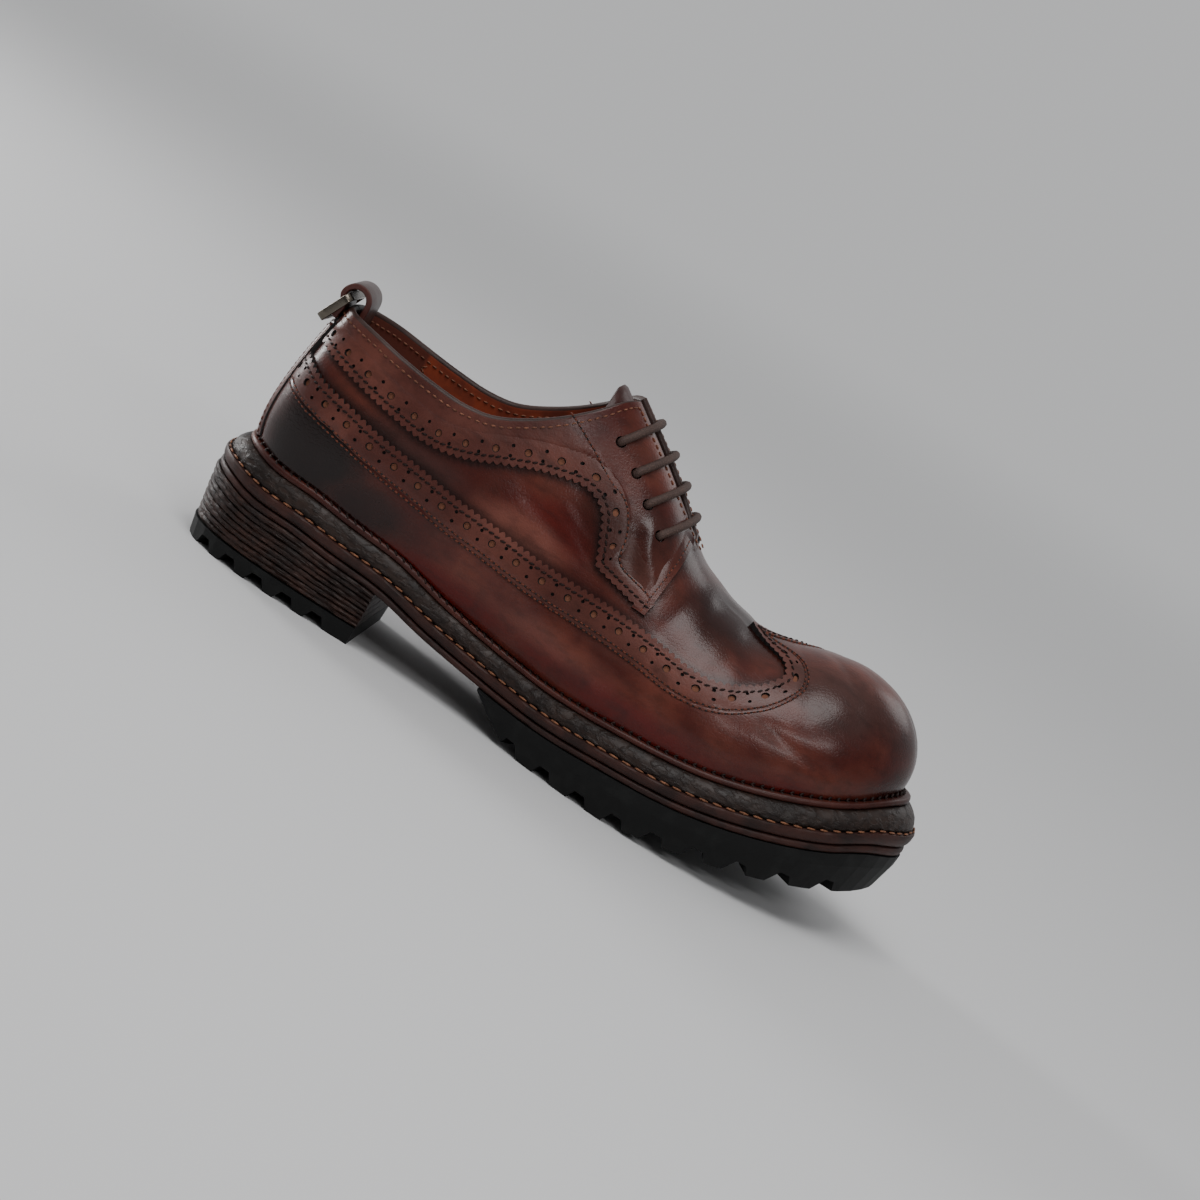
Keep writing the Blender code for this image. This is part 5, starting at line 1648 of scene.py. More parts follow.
@dataclass
class Band:
    """A strip of leather along a seam, pinked and punched, or plain."""

    name: str
    route: Route
    punching: Punching
    node: str
    lift: float = 1.55
    sink: float = 0.5
    widths: Rows = ((0.0, 1.0), (1.0, 1.0))
    plain: bool = False
    bare: int = 0
    finish: CalfFinish = BAND

    def cell_mesh(self, pitch: float, punched: bool) -> bmesh.types.BMesh:
        """One repeat of the pattern, flat, with its holes cut if it is punched."""
        p = self.punching
        bm = bmesh.new()
        outline = []
        teeth = 0 if self.plain else round(pitch / p.tooth)
        for k in range(teeth):
            for part, height in ((0.0, 1.0), (0.3, 0.22), (0.5, 0.0), (0.7, 0.22)):
                outline.append((pitch * (k + part) / teeth, p.tooth_height * height - 0.3))
        outline = outline or [(0.0, 0.0)]
        outline.append((pitch, outline[0][1]))
        outline += [(pitch, p.width), (0.0, p.width)]
        corners = [bm.verts.new((x, y, 0.0)) for x, y in outline]
        for start, end in zip(corners, corners[1:] + corners[:1]):
            bm.edges.new((start, end))
        holes = [] if self.plain or not punched else [
            (pitch * 0.27, p.row, p.big, 14),
            (pitch * 0.77 - 0.3, p.row - p.apart, p.small, 8),
            (pitch * 0.77 + 0.3, p.row + p.apart, p.small, 8),
        ]
        for x, y, radius, count in holes:
            bmesh.ops.create_circle(
                bm, cap_ends=False, segments=count, radius=radius, matrix=Matrix.Translation((x, y, 0))
            )
        bmesh.ops.triangle_fill(bm, use_beauty=True, use_dissolve=False, edges=bm.edges[:])
        cuts = [((pitch * k / 5, 0, 0), (1, 0, 0)) for k in range(1, 5)]
        cuts += [((0, p.width * k / 4, 0), (0, 1, 0)) for k in range(1, 4)]
        for spot, way in cuts:
            geometry = bm.verts[:] + bm.edges[:] + bm.faces[:]
            bmesh.ops.bisect_plane(bm, geom=geometry, dist=0.001, plane_co=spot, plane_no=way)
        for x, y, radius, count in holes:
            self.sink_hole(bm, x, y, radius)
        return bm

    def sink_hole(self, bm: bmesh.types.BMesh, x: float, y: float, radius: float) -> None:
        """Give a hole in the flat pattern its wall and its bottom."""
        rim = [
            edge for edge in bm.edges
            if edge.is_boundary and all(
                abs(math.hypot(v.co.x - x, v.co.y - y)) < radius * 1.02 for v in edge.verts
            )
        ]
        low, ring = grow(bm, rim)
        bmesh.ops.translate(bm, vec=(0.0, 0.0, -self.punching.depth), verts=low)
        if radius > 1.0:
            shrunk, ring = grow(bm, ring)
            about = Matrix.Translation((-x, -y, 0.0))
            bmesh.ops.scale(bm, vec=(0.80, 0.80, 1.0), space=about, verts=shrunk)
        # big holes show the tan flesh at their bottom; small holes get the dark cut finish there, as painted
        # shade
        for face in bmesh.ops.contextual_create(bm, geom=ring)["faces"]:
            face.material_index = 2 if radius > 1.0 else 1

    def flat_mesh(self) -> bmesh.types.BMesh:
        """The whole strip, flat."""
        count = max(1, round(self.route.length / self.punching.cell))
        pitch = self.route.length / count
        punched = count - self.bare
        bm = bmesh.new()
        for kind, places in ((True, range(punched)), (False, range(punched, count))):
            cell = self.cell_mesh(pitch, kind)
            pattern = bpy.data.meshes.new("cell")
            cell.to_mesh(pattern)
            cell.free()
            for k in places:
                known = len(bm.verts)
                bm.from_mesh(pattern)
                bm.verts.ensure_lookup_table()
                bmesh.ops.translate(bm, vec=(pitch * k, 0.0, 0.0), verts=bm.verts[known:])
            bpy.data.meshes.remove(pattern)
        bmesh.ops.remove_doubles(bm, verts=bm.verts, dist=0.005)
        bmesh.ops.recalc_face_normals(bm, faces=bm.faces)
        flat_faces = [face for face in bm.faces if abs(face.normal.z) > 0.9 and face.material_index == 0]
        if sum(face.normal.z for face in flat_faces) < 0:
            bmesh.ops.reverse_faces(bm, faces=bm.faces)
        low, _ = grow(bm, [edge for edge in bm.edges if edge.is_boundary])
        bmesh.ops.translate(bm, vec=(0.0, 0.0, -(self.lift + self.sink)), verts=low)
        return bm

    def build(self, bench: Bench) -> bpy.types.Object:
        """Make the strip and lay it along its seam."""
        bm = self.flat_mesh()
        flat = get_places(bm)
        share = flat[:, 0] / self.route.length
        flat[:, 1] *= read_rows(self.widths, 1, share)
        inner = ease(flat[:, 1] / np.maximum(read_rows(self.widths, 1, share), 0.01),
                     self.punching.width - 2.5, self.punching.width)
        flat[:, 2] += self.lift - inner * (self.lift - 1.12)
        places, _, _ = self.route.place(flat)
        set_places(bm, places)
        if self.route.turn < 0:
            bmesh.ops.reverse_faces(bm, faces=bm.faces)
        return bench.finish(self.name, bm, [self.finish, CUT, TAN], "upper_leather", [self.node])


@dataclass
class Panels:
    """Wing cap band, collar bands and facings, with their sewing."""

    sizes: ShoeSizes
    skin: Skin
    seams: Seams
    collar_thread: Thread = Thread(3.0, 2.3, 0.40, 1.42)
    zigzag: Thread = Thread(3.0, 3.0, 0.35, -2.05, 52.0)
    grip_seam: float = -108.0
    row_start: Rows = ((-45.0, 122.0), (-29.0, 114.0), (-17.0, 107.0))
    row_joins: float = -10.0
    row_across: float = 10.4

    def build(self, bench: Bench) -> None:
        """Make the bands and sew them."""
        wing = self.seams.wing()
        narrow = self.seams.wing_widths(wing)
        Band("wing_band", wing, WING_PUNCHING, "wing_cap", widths=narrow).build(bench)
        edge = Thread(2.8, 2.6, 0.52, 1.54, 15.0)
        fine = Thread(2.5, 1.9, 0.38, 1.42)
        dark = [(wing, 2.9, edge)]
        rust: list[tuple[Route, float, Thread]] = []
        tan: list[tuple[Route, float, Thread]] = []
        for offset in (11.3, 13.2):
            rust.append((self.inner_line(wing, narrow, offset), 0.0, fine))
        for side in Side:
            name = side.name.lower()
            facing = self.seams.facing(side)
            front = self.seams.front(side)
            narrow = self.seams.facing_widths(facing)
            Band(
                "facing_band_" + name, facing, FACING_PUNCHING, "facing_" + name, widths=narrow, bare=2,
            ).build(bench)
            Band(
                "facing_front_" + name, front, FRONT_STRIP, "facing_" + name, plain=True, finish=CALF,
            ).build(bench)
            dark.append((facing, 2.8, edge))
            rust.append((front, 2.2, fine))
            topline = self.seams.topline(side)
            tan.append((topline, 2.6, self.collar_thread))
            tan.append((topline, 2.8, replace(self.collar_thread, lift=-self.sizes.wall - 0.1)))
            rust.append((self.facing_row(facing, narrow), 0.0, fine))
            tan += [(self.lining_seam(side), 0.0, self.zigzag), (self.lining_seam(side), 0.0, replace(
                self.zigzag, lean=-self.zigzag.lean, phase=0.5,
            ))]
        # painted shade: dark beads for the needle holes' pits between the rust stitches
        prick_shade = [(route, across, thread.needle_holes()) for route, across, thread in rust]
        sew(bench, "edge_sewing", dark, DARK_THREAD, "upper_leather", 11)
        sew(bench, "fine_sewing", rust, RUST_THREAD, "upper_leather", 12)
        sew(bench, "needle_holes", prick_shade, CUT, "upper_leather", 12)
        sew(bench, "collar_sewing", tan, TAN_THREAD, "upper_leather", 13)

    def lining_seam(self, side: Side) -> Route:
        """Seam of the heel grip, down the lining from the topline."""
        edge = self.seams.topline(side).spots
        top = float(edge[np.argmin(np.abs(edge[:, 0] - self.grip_seam)), 2])
        line = [(self.grip_seam, float(z)) for z in np.arange(top - 4.0, top - 44.0, -2.0)]
        return Route.on_skin(self.skin, self.skin.from_side(line, side), 1.0)

    def facing_row(self, facing: Route, widths: Rows) -> Route:
        """Seam along a band's inner edge, where the plain part of the facing begins."""
        row = self.inner_line(facing, widths, self.row_across)
        side = Side(-int(facing.turn))
        upper = self.skin.from_side(self.seams.fill(list(self.row_start)), side)
        lower = row.spots[np.argmax(row.spots[:, 0] > self.row_joins):-2]
        return Route.on_skin(self.skin, np.vstack((upper, lower)), facing.turn, soften=4)

    def inner_line(self, edge: Route, widths: Rows, across: float) -> Route:
        """A seam inside a band, a distance across it where the band is full width."""
        run = np.arange(0.0, edge.length, 1.0)
        scale = read_rows(widths, 1, run / edge.length)
        spots, _, _ = edge.place(np.stack((run, across * scale, np.zeros(len(run))), axis=1))
        return Route.on_skin(self.skin, spots, edge.turn, soften=3)


def sweep(path: np.ndarray, section: np.ndarray, across: np.ndarray, closed: bool) -> bmesh.types.BMesh:
    """A bar of one section swept along a path.

    Args:
        path: places along the middle of the bar.
        section: loop of offsets (off the path, across it), in order.
        across: direction across the bar, the same all along or one row per place.
        closed: whether the path's end meets its start.

    Returns:
        The closed mesh.
    """
    if closed:
        path = np.vstack((path, path[:1]))
        ahead = unit(np.roll(path[:-1], -1, axis=0) - np.roll(path[:-1], 1, axis=0))
        ahead = np.vstack((ahead, ahead[:1]))
    else:
        ahead = unit(np.gradient(path, axis=0))
    side = np.broadcast_to(across, path.shape)
    side = unit(side - ahead * np.sum(side * ahead, axis=1, keepdims=True))
    off = np.cross(side, ahead)
    loop = np.vstack((section, section[:1]))
    places = path[:, None] + off[:, None] * loop[None, :, :1] + side[:, None] * loop[None, :, 1:]
    bm = grid_mesh(places, 0.004)
    close_ends(bm)
    return bm


def rounded_box(width: float, height: float, corner: float, steps: int = 4) -> np.ndarray:
    """Loop of a rectangle with round corners about the origin."""
    points = []
    for k, (sx, sy) in enumerate(((1, 1), (-1, 1), (-1, -1), (1, -1))):
        for j in range(steps + 1):
            angle = math.pi / 2 * (k + j / steps)
            points.append((
                (width / 2 - corner) * sx + corner * math.cos(angle),
                (height / 2 - corner) * sy + corner * math.sin(angle),
            ))
    return np.array(points)


def even_steps(points: np.ndarray, step: float, soften: int = 0) -> np.ndarray:
    """A line through points in even steps, its corners rounded."""
    run = run_along(points)
    even = np.linspace(0.0, run[-1], max(2, int(run[-1] / step) + 1))
    return blur(read_line(points, run, even), soften)


@dataclass
class HeelTrim:
    """Back strap, pull loop and the ring that hangs in it."""

    sizes: ShoeSizes
    last: Last
    skin: Skin
    strap_rows: Rows = ((0.40, 17.0), (0.56, 14.0), (0.74, 11.6), (1.10, 10.8))
    strap_low: float = 0.40
    strap_top: float = 0.945
    strap_lift: float = 2.75
    loop_width: float = 22.0
    loop_thick: float = 2.4
    loop_rise: float = 11.0
    loop_inside: float = 8.8
    loop_tail: float = 6.0
    ring_length: float = 31.0
    ring_drop: float = 15.6
    ring_depth: float = 3.4
    ring_bar: float = 1.6
    ring_corner: float = 3.0
    ring_tilt: float = 26.0

    def heel_back(self, z: float) -> float:
        """X of the upper's outer face on the heel's middle line at a height."""
        share = np.zeros(1)
        height = self.last.cross(share, -1, lambda spots: spots[:, 2] - z)
        return float(self.last.surface(share, -1, height)[0, 0])

    def middle_line(self) -> Route:
        """Route up the middle of the heel."""
        heights = np.arange(self.strap_low * self.sizes.collar + 2.0, self.strap_top * self.sizes.collar, 1.0)
        x = np.array([self.heel_back(float(z)) for z in heights])
        points = np.stack((x, np.full(len(x), self.sizes.heel_centre), heights), axis=1)
        return Route.on_skin(self.skin, points, 1.0, soften=1, spread=0)

    def half_width(self, route: Route, run: np.ndarray) -> np.ndarray:
        """Half the strap's width at distances along it."""
        z = np.interp(run, route.run, route.spots[:, 2]) / self.sizes.collar
        return read_rows(self.strap_rows, 1, z)

    def strap(self, bench: Bench) -> None:
        """Make the back strap, its edges turned down onto the panels."""
        route = self.middle_line()
        columns, rows = 70, 32
        u, v = np.meshgrid(np.linspace(0, 1, columns + 1), np.linspace(-1, 1, rows + 1), indexing="ij")
        run = u.ravel() * route.length
        across = v.ravel() * self.half_width(route, run)
        edge = np.maximum(ease(np.abs(v.ravel()), 0.86, 1.0), ease(u.ravel(), 0.985, 1.0))
        crown = 0.35 * (1 - v.ravel() ** 2)
        flat = np.stack((run, across, self.strap_lift + crown - 0.7 * edge), axis=1)
        places, _, _ = route.place(flat)
        bm = grid_mesh(places.reshape(u.shape + (3,)))
        self.drop_rim(bm)
        bench.finish("back_strap", bm, [CALF, CUT], "upper_leather", ["heel_strap"])
        runs = []
        for sign in (-1.0, 1.0):
            edge_run = np.arange(1.0, route.length - 2.0, 1.0)
            offset = sign * (self.half_width(route, edge_run) - 2.0)
            line = np.stack((edge_run, offset, np.zeros(len(edge_run))), axis=1)
            spots, _, _ = route.place(line)
            seam = Route.on_skin(self.skin, spots, 1.0, soften=1)
            runs.append((seam, 0.0, Thread(2.4, 1.7, 0.28, 2.86)))
        top = route.length - 3.2
        offsets = np.arange(-8.4, 8.5, 0.7)
        line = np.stack((np.full(len(offsets), top), offsets, np.zeros(len(offsets))), axis=1)
        spots, _, _ = route.place(line)
        runs.append((Route.on_skin(self.skin, spots, 1.0, soften=0), 0.0, Thread(2.4, 1.7, 0.30, 3.04)))
        sew(bench, "strap_sewing", runs, RUST_THREAD, "upper_leather", 21)

    def drop_rim(self, bm: bmesh.types.BMesh) -> None:
        """Turn the strap's border down to the panels under it."""
        low, _ = grow(bm, [edge for edge in bm.edges if edge.is_boundary])
        spots = np.array([vertex.co[:] for vertex in low])
        on_skin, out = self.skin.lay(spots)
        for vertex, spot, way in zip(low, on_skin, out):
            vertex.co = spot - way * 0.4
        bmesh.ops.recalc_face_normals(bm, faces=bm.faces)

    def loop_line(self) -> np.ndarray:
        """Middle of the pull loop in the side view, over the topline and down inside."""
        topline = float(read_rows(
            self.last.collar_rows, 1, self.sizes.share(np.array([self.heel_back(self.sizes.collar)]))
        )[0]) * self.sizes.collar
        tail_low = self.strap_top * self.sizes.collar + 0.4
        tail_high = tail_low + self.loop_tail
        half = self.loop_thick / 2
        skin = FIT + 1.1 + FIT
        inner = self.heel_back(topline) + self.sizes.wall + 2.4
        crown = topline + self.loop_rise
        radius = (self.loop_inside + self.loop_thick) / 2
        centre = (inner - self.loop_inside / 2, crown - half - radius)
        low = (self.heel_back(tail_low) - skin - half, tail_low)
        high = (self.heel_back(tail_high) - skin - half - 0.3, tail_high)
        arch = [
            (centre[0] + radius * math.cos(a), centre[1] + radius * math.sin(a))
            for a in np.linspace(math.pi, 0.0, 13)
        ]
        line = np.array([low, high] + arch + [(inner + half, topline - 8.0)])
        clear = self.loop_inside / 2
        self.pivot = (inner - clear - 1.9, crown - self.loop_thick - clear + 0.6)
        return even_steps(line, 0.6, 2)

    def loop(self, bench: Bench) -> None:
        """Make the pull loop."""
        line = self.loop_line()
        middle = np.full(len(line), self.sizes.heel_centre)
        path = np.stack((line[:, 0], middle, line[:, 1]), axis=1)
        section = rounded_box(self.loop_thick, self.loop_width, 0.55, 3)
        bm = sweep(path, section, np.array((0.0, 1.0, 0.0)), False)
        for face in bm.faces:
            if abs(face.calc_center_median().y - self.sizes.heel_centre) > self.loop_width / 2 - 0.4:
                face.material_index = 1
        bench.finish("pull_loop_leather", bm, [LOOP, LOOP_SIDE], "upper_leather", ["pull_loop"])

    def ring(self, bench: Bench) -> None:
        """Make the ring: a flat bar bent to a rounded oblong."""
        outline = rounded_box(
            self.ring_length - self.ring_bar, self.ring_drop - self.ring_bar,
            self.ring_corner - self.ring_bar / 2, 6,
        )
        outline = even_steps(np.vstack((outline, outline[:1])), 0.5)[:-1]
        outline[:, 1] -= (self.ring_drop - self.ring_bar) / 2
        tilt = math.radians(self.ring_tilt)
        path = np.stack((
            self.pivot[0] + outline[:, 1] * math.sin(tilt),
            self.sizes.heel_centre + outline[:, 0],
            self.pivot[1] + outline[:, 1] * math.cos(tilt),
        ), axis=1)
        across = np.array((math.cos(tilt), 0.0, -math.sin(tilt)))
        section = rounded_box(self.ring_bar, self.ring_depth, 0.4, 3)
        bm = sweep(path, section, across, True)
        bench.finish("ring_bar", bm, [STEEL], "gunmetal", ["heel_ring"], Body.RING)

    def build(self, bench: Bench) -> None:
        """Make the strap, the loop and the ring."""
        self.strap(bench)
        self.loop(bench)
        self.ring(bench)


@dataclass
class TonguePiece:
    """The tongue under the facings."""

    sizes: ShoeSizes
    last: Last
    skin: Skin
    half_width: float = 22.0
    start: float = 36.0
    top: float = -32.0
    under: float = 3.8
    wall: float = 2.4

    def build(self, bench: Bench) -> None:
        """Make the tongue as one soft-edged sheet."""
        shares = np.linspace(0.3, 0.7, 400)
        ends = np.interp([self.top, self.start], self.last.ridge(shares)[:, 0], shares)
        share = np.linspace(ends[0], ends[1], 60)
        middle = self.last.ridge(share)[:, 1]
        rows = []
        for side in (-1, 1):
            low = self.last.cross(
                share, side, lambda spots: self.half_width - np.abs(spots[:, 1] - middle)
            )
            steps = np.linspace(0.0, 1.0, 13)
            wide, step = np.meshgrid(share, steps, indexing="ij")
            height = low[:, None] + (1 - low[:, None]) * step
            rows.append(self.last.surface(wide, side, height))
        sheet = np.concatenate((rows[0], rows[1][:, -2::-1]), axis=1)
        _, out = self.skin.lay(sheet.reshape(-1, 3))
        out = out.reshape(sheet.shape)
        face = sheet - out * self.under
        back = sheet - out * (self.under + self.wall)
        centre = (face + back) / 2
        swell = np.ones(sheet.shape[:2])
        swell[:, (0, -1)] = 0.35
        swell[(0, -1), :] *= 0.45
        swell = swell[..., None]
        face, back = centre + (face - centre) * swell, centre + (back - centre) * swell
        loop = np.concatenate((face, back[:, ::-1], face[:, :1]), axis=1)
        bm = grid_mesh(loop)
        close_ends(bm)
        bench.finish("tongue_leather", bm, [TONGUE], "upper_leather", ["tongue"], sharp=60.0)


@dataclass
class LacePiece:
    """One lace through the four pairs of eyelets, its two ends hidden under the top eyelet."""

    sizes: ShoeSizes
    skin: Skin
    eyelets: list[dict[Side, tuple[Vector, Vector]]]
    radius: float = 1.65
    over: float = 1.55
    inside: float = 3.4

    def bar(self, row: dict[Side, tuple[Vector, Vector]], start: Side) -> list[Vector]:
        """Places of the lace up through one hole, over the throat and down the other."""
        end = Side.LATERAL if start is Side.MEDIAL else Side.MEDIAL
        first, first_out = row[start]
        last, last_out = row[end]
        clear = self.over + self.radius
        span = (last - first).normalized()
        down = Vector((-0.6, 0.0, -0.8))
        hits = []
        for share in np.linspace(0.0, 1.0, 15)[1:-1]:
            spot = first.lerp(last, float(share))
            hits.append(self.skin.tree.ray_cast(spot - down * 60.0, down)[0])
        _, out = self.skin.lay(np.array([hit[:] for hit in hits]))
        crest = [hit + Vector(way) * (clear - 0.3) for hit, way in zip(hits, out)]
        up = (first_out + last_out).normalized()
        path = [first + span * 1.1 + first_out * clear] + crest + [last - span * 1.1 + last_out * clear]
        for _ in range(30):
            for k in range(1, len(path) - 1):
                middle = (path[k - 1] + path[k + 1]) / 2
                if (middle - path[k]).dot(up) > 0:
                    path[k] = middle
        levels = (-self.inside, -1.0, clear - 1.1)
        start_hole = [first + first_out * level for level in levels]
        end_hole = [last + last_out * level for level in reversed(levels)]
        return start_hole + path + end_hole

    def build(self, bench: Bench) -> None:
        """Make the lace as one braided cord."""
        route: list[Vector] = []
        side = Side.MEDIAL
        for row in self.eyelets:
            route += self.bar(row, side)
            side = Side.LATERAL if side is Side.MEDIAL else Side.MEDIAL
        first, out = self.eyelets[0][Side.MEDIAL]
        inward = [spot - way * (self.inside + 0.4) for spot, way in (
            self.eyelets[3][Side.MEDIAL], self.eyelets[2][Side.MEDIAL], self.eyelets[1][Side.MEDIAL],
        )]
        route += inward + [first - out * (self.inside + 0.6)]
        path = even_steps(np.array([point[:] for point in route]), 0.45, 2)
        self.braid(bench, path)

    def braid(self, bench: Bench, path: np.ndarray) -> None:
        """Sweep the cord along its path, with the small ridges of its braid."""
        ahead = unit(np.gradient(path, axis=0))
        side = np.zeros(path.shape)
        way = np.array((0.3, 0.2, 0.9))
        for k, forward in enumerate(ahead):
            way = way - forward * float(way @ forward)
            way = way / np.linalg.norm(way)
            side[k] = way
        count = 16
        angle = np.arange(count + 1) / count * 2 * math.pi
        run = np.arange(len(path)) * 0.45
        twist = run[:, None] * 2.6
        ridge = np.sin(4 * angle[None, :] + twist) * np.sin(4 * angle[None, :] - twist)
        spots, out = self.skin.lay(path)
        depth = np.sum((path - spots) * out, axis=1)
        thin = 0.55 + 0.45 * ease(depth, -3.2, -1.0)
        radius = (self.radius * thin)[:, None] * (1 + 0.05 * ridge)
        off = np.cross(side, ahead)
        places = (
            path[:, None]
            + side[:, None] * (radius * np.cos(angle))[..., None]
            + off[:, None] * (radius * np.sin(angle))[..., None]
        )
        bm = grid_mesh(places, 0.001)
        close_ends(bm)
        nodes = ["lace_bar_%d" % (k + 1) for k in range(len(self.eyelets))]
        bench.finish("lace_cord", bm, [LACE], "lace", nodes, sharp=180.0)


@dataclass(frozen=True)
class Layer:
    """One layer of the sole: its name, edge profile and heights.

    The profile's rows are (share of the layer's height, inset in mm, share of the welt width).
    """

    name: str
    node: str
    profile: Rows
    low: Height
    high: Height
    finish: Finish
    slot: str
    wear: float = 0.12


@dataclass
class SoleStack:
    """Rand, midsoles, runner and heel, as dense layers with worked edges."""

    sizes: ShoeSizes
    footprint: Footprint
    rand: float = 2.6
    top_midsole: float = 7.7
    midsole: float = 5.0
    runner: float = 3.3
    top_piece: float = 7.7
    lifts: int = 4
    taper: float = 4.0
    steps: int = 260

    def edge_place(self, share: np.ndarray, side: int, inset: float, welt: float) -> np.ndarray:
        """Places in plan on a layer's edge."""
        width = self.footprint.welt_width(share, side)
        return self.footprint.point(share, side, inset + welt * width)

    def wear_of(self, share: np.ndarray, side: int, seed: int, amount: float) -> np.ndarray:
        """Small uneven moves of an edge, the same each time."""
        chance = np.random.default_rng(seed + side)
        total = np.zeros(share.shape)
        for waves in (9, 17, 31, 54):
            phase, size = chance.uniform(0, 2 * math.pi), chance.uniform(0.5, 1.0)
            total += size * np.sin(share * waves * 2 * math.pi + phase)
        fade = np.minimum(1.0, np.minimum(share, 1 - share) * 12)
        return total * amount * 0.5 * fade

    def slab(self, layer: Layer, start: float | None = None, end: float | None = None) -> bmesh.types.BMesh:
        """A closed layer between two places along the shoe, or the whole way.

        Args:
            layer: the layer to make.
            start: X of its back end, or nothing for the heel tip.
            end: X of its front end, or nothing for the toe tip.

        Returns:
            The closed mesh.
        """
        loops = []
        whole = start is None and end is None
        steps = stations(self.steps) if whole else np.linspace(0, 1, self.steps + 1)
        for side in (1, -1):
            low = 0.0 if start is None else self.footprint.share_at(start, side, 1.0)
            high = 1.0 if end is None else self.footprint.share_at(end, side, 1.0)
            share = low + (high - low) * steps
            rows = []
            for k, (level, inset, welt) in enumerate(layer.profile):
                wear = self.wear_of(share, side, 7 * k + sum(map(ord, layer.name)), layer.wear)
                plan = self.edge_place(share, side, inset, welt)
                plan -= self.footprint.normal(share, side) * wear[:, None]
                if start is not None:
                    plan[0, 0] = start
                if end is not None:
                    plan[-1, 0] = end
                if start is None:
                    plan[0, 1] = self.sizes.heel_centre
                height = layer.low(plan[:, 0]) * (1 - level) + layer.high(plan[:, 0]) * level
                rows.append(np.column_stack((plan, height)))
            loops.append(np.stack(rows, axis=1))
        if end is None:
            tip = (loops[0][-1] + loops[1][-1]) / 2
            loops[0][-1] = tip
            loops[1][-1] = tip
        loop = np.concatenate((loops[0], loops[1][:, ::-1], loops[0][:, :1]), axis=1)
        bm = grid_mesh(loop)
        close_ends(bm)
        return bm

    def depth(self, depth: float, lift: float = 0.0) -> Height:
        """Height function of a surface a depth of layers below the feather line."""
        return lambda x: self.footprint.layer(x, depth) + lift

    def build(self, bench: Bench) -> None:
        """Make every layer and the sewing on them."""
        first = self.rand
        second = first + self.top_midsole
        third = second + self.midsole
        fourth = third + self.runner
        layers = (
            Layer(
                "runner_edge", "runner",
                ((0.0, 1.6, 0.0), (0.12, 1.0, 0.0), (0.4, 0.7, 0.0), (0.7, 0.8, 0.0), (0.9, 1.2, 0.0),
                 (1.0, 2.0, 0.0)),
                self.depth(fourth), self.depth(third, -FIT), BROWN_EDGE, "edge_brown",
            ),
            Layer(
                "midsole_edge", "midsole",
                ((0.0, 2.0, 0.0), (0.08, 1.0, 0.0), (0.22, 0.45, 0.0), (0.45, 0.1, 0.0), (0.8, 0.0, 0.0),
                 (0.94, 0.3, 0.0), (1.0, 1.0, 0.0), (1.0, 3.4, 0.0)),
                self.depth(third), self.depth(second, -FIT), BROWN_EDGE, "edge_brown",
            ),
            Layer(
                "burnished_edge", "top_midsole",
                ((0.0, 3.2, 0.0), (0.02, 2.1, 0.0), (0.10, 1.6, 0.02), (0.30, 1.0, 0.10), (0.50, 0.4, 0.20),
                 (0.68, 0.0, 0.32), (0.84, 0.0, 0.42), (0.94, 0.0, 0.50), (1.0, 0.2, 0.58), (1.0, 2.0, 0.70)),
                self.depth(second), self.depth(first, -FIT), GREY_EDGE, "edge_grey", 0.22,
            ),
            Layer(
                "rand_strip", "storm_rand",
                ((-0.12, 0.0, 0.62), (0.10, 0.0, 0.585), (0.40, 0.0, 0.585), (0.70, 0.0, 0.61),
                 (0.92, 0.0, 0.66), (1.02, 0.0, 0.74), (1.04, 0.0, 0.84), (0.96, 0.0, 0.93), (0.9, 1.5, 1.0)),
                self.depth(first, FIT), self.depth(0.0), RAND_RED, "rand_red", 0.04,
            ),
        )
        for layer in layers:
            bm = self.slab(layer)
            bench.finish(layer.name, bm, [layer.finish], layer.slot, [layer.node])
        self.heel(bench, fourth)
        self.sewing(bench, first, second)

    def lift_seam(self, runner_base: float, share: float, gap: float, x: np.ndarray) -> np.ndarray:
        """Height a share of the way from the top piece up to the runner, less a gap."""
        return self.top_piece + share * (self.footprint.layer(x, runner_base) - self.top_piece) - gap

    def heel(self, bench: Bench, runner_base: float) -> None:
        """Make the heel of stacked lifts, each ribbed twice."""
        breast = -self.sizes.length / 2 + self.sizes.heel_length
        ribs = 2
        for k in range(self.lifts):
            low_share, high_share = k / self.lifts, (k + 1) / self.lifts
            profile = []
            for j in range(ribs * 6 + 1):
                step = j / (ribs * 6)
                groove = abs(math.cos(math.pi * step * ribs)) ** 6
                share = low_share + (high_share - low_share) * step
                profile.append((step, self.taper * (1 - share) * 0.86 + 0.75 * groove, 0.0))
            layer = Layer(
                "heel_leather_%d" % (k + 1), "heel_lift_%d" % (k + 1), tuple(profile),
                partial(self.lift_seam, runner_base, low_share, 0.0),
                partial(self.lift_seam, runner_base, high_share, FIT), HEEL_EDGE, "edge_brown", 0.25,
            )
            bm = self.slab(layer, end=breast)
            bench.finish(layer.name, bm, [HEEL_EDGE], "edge_brown", [layer.node])

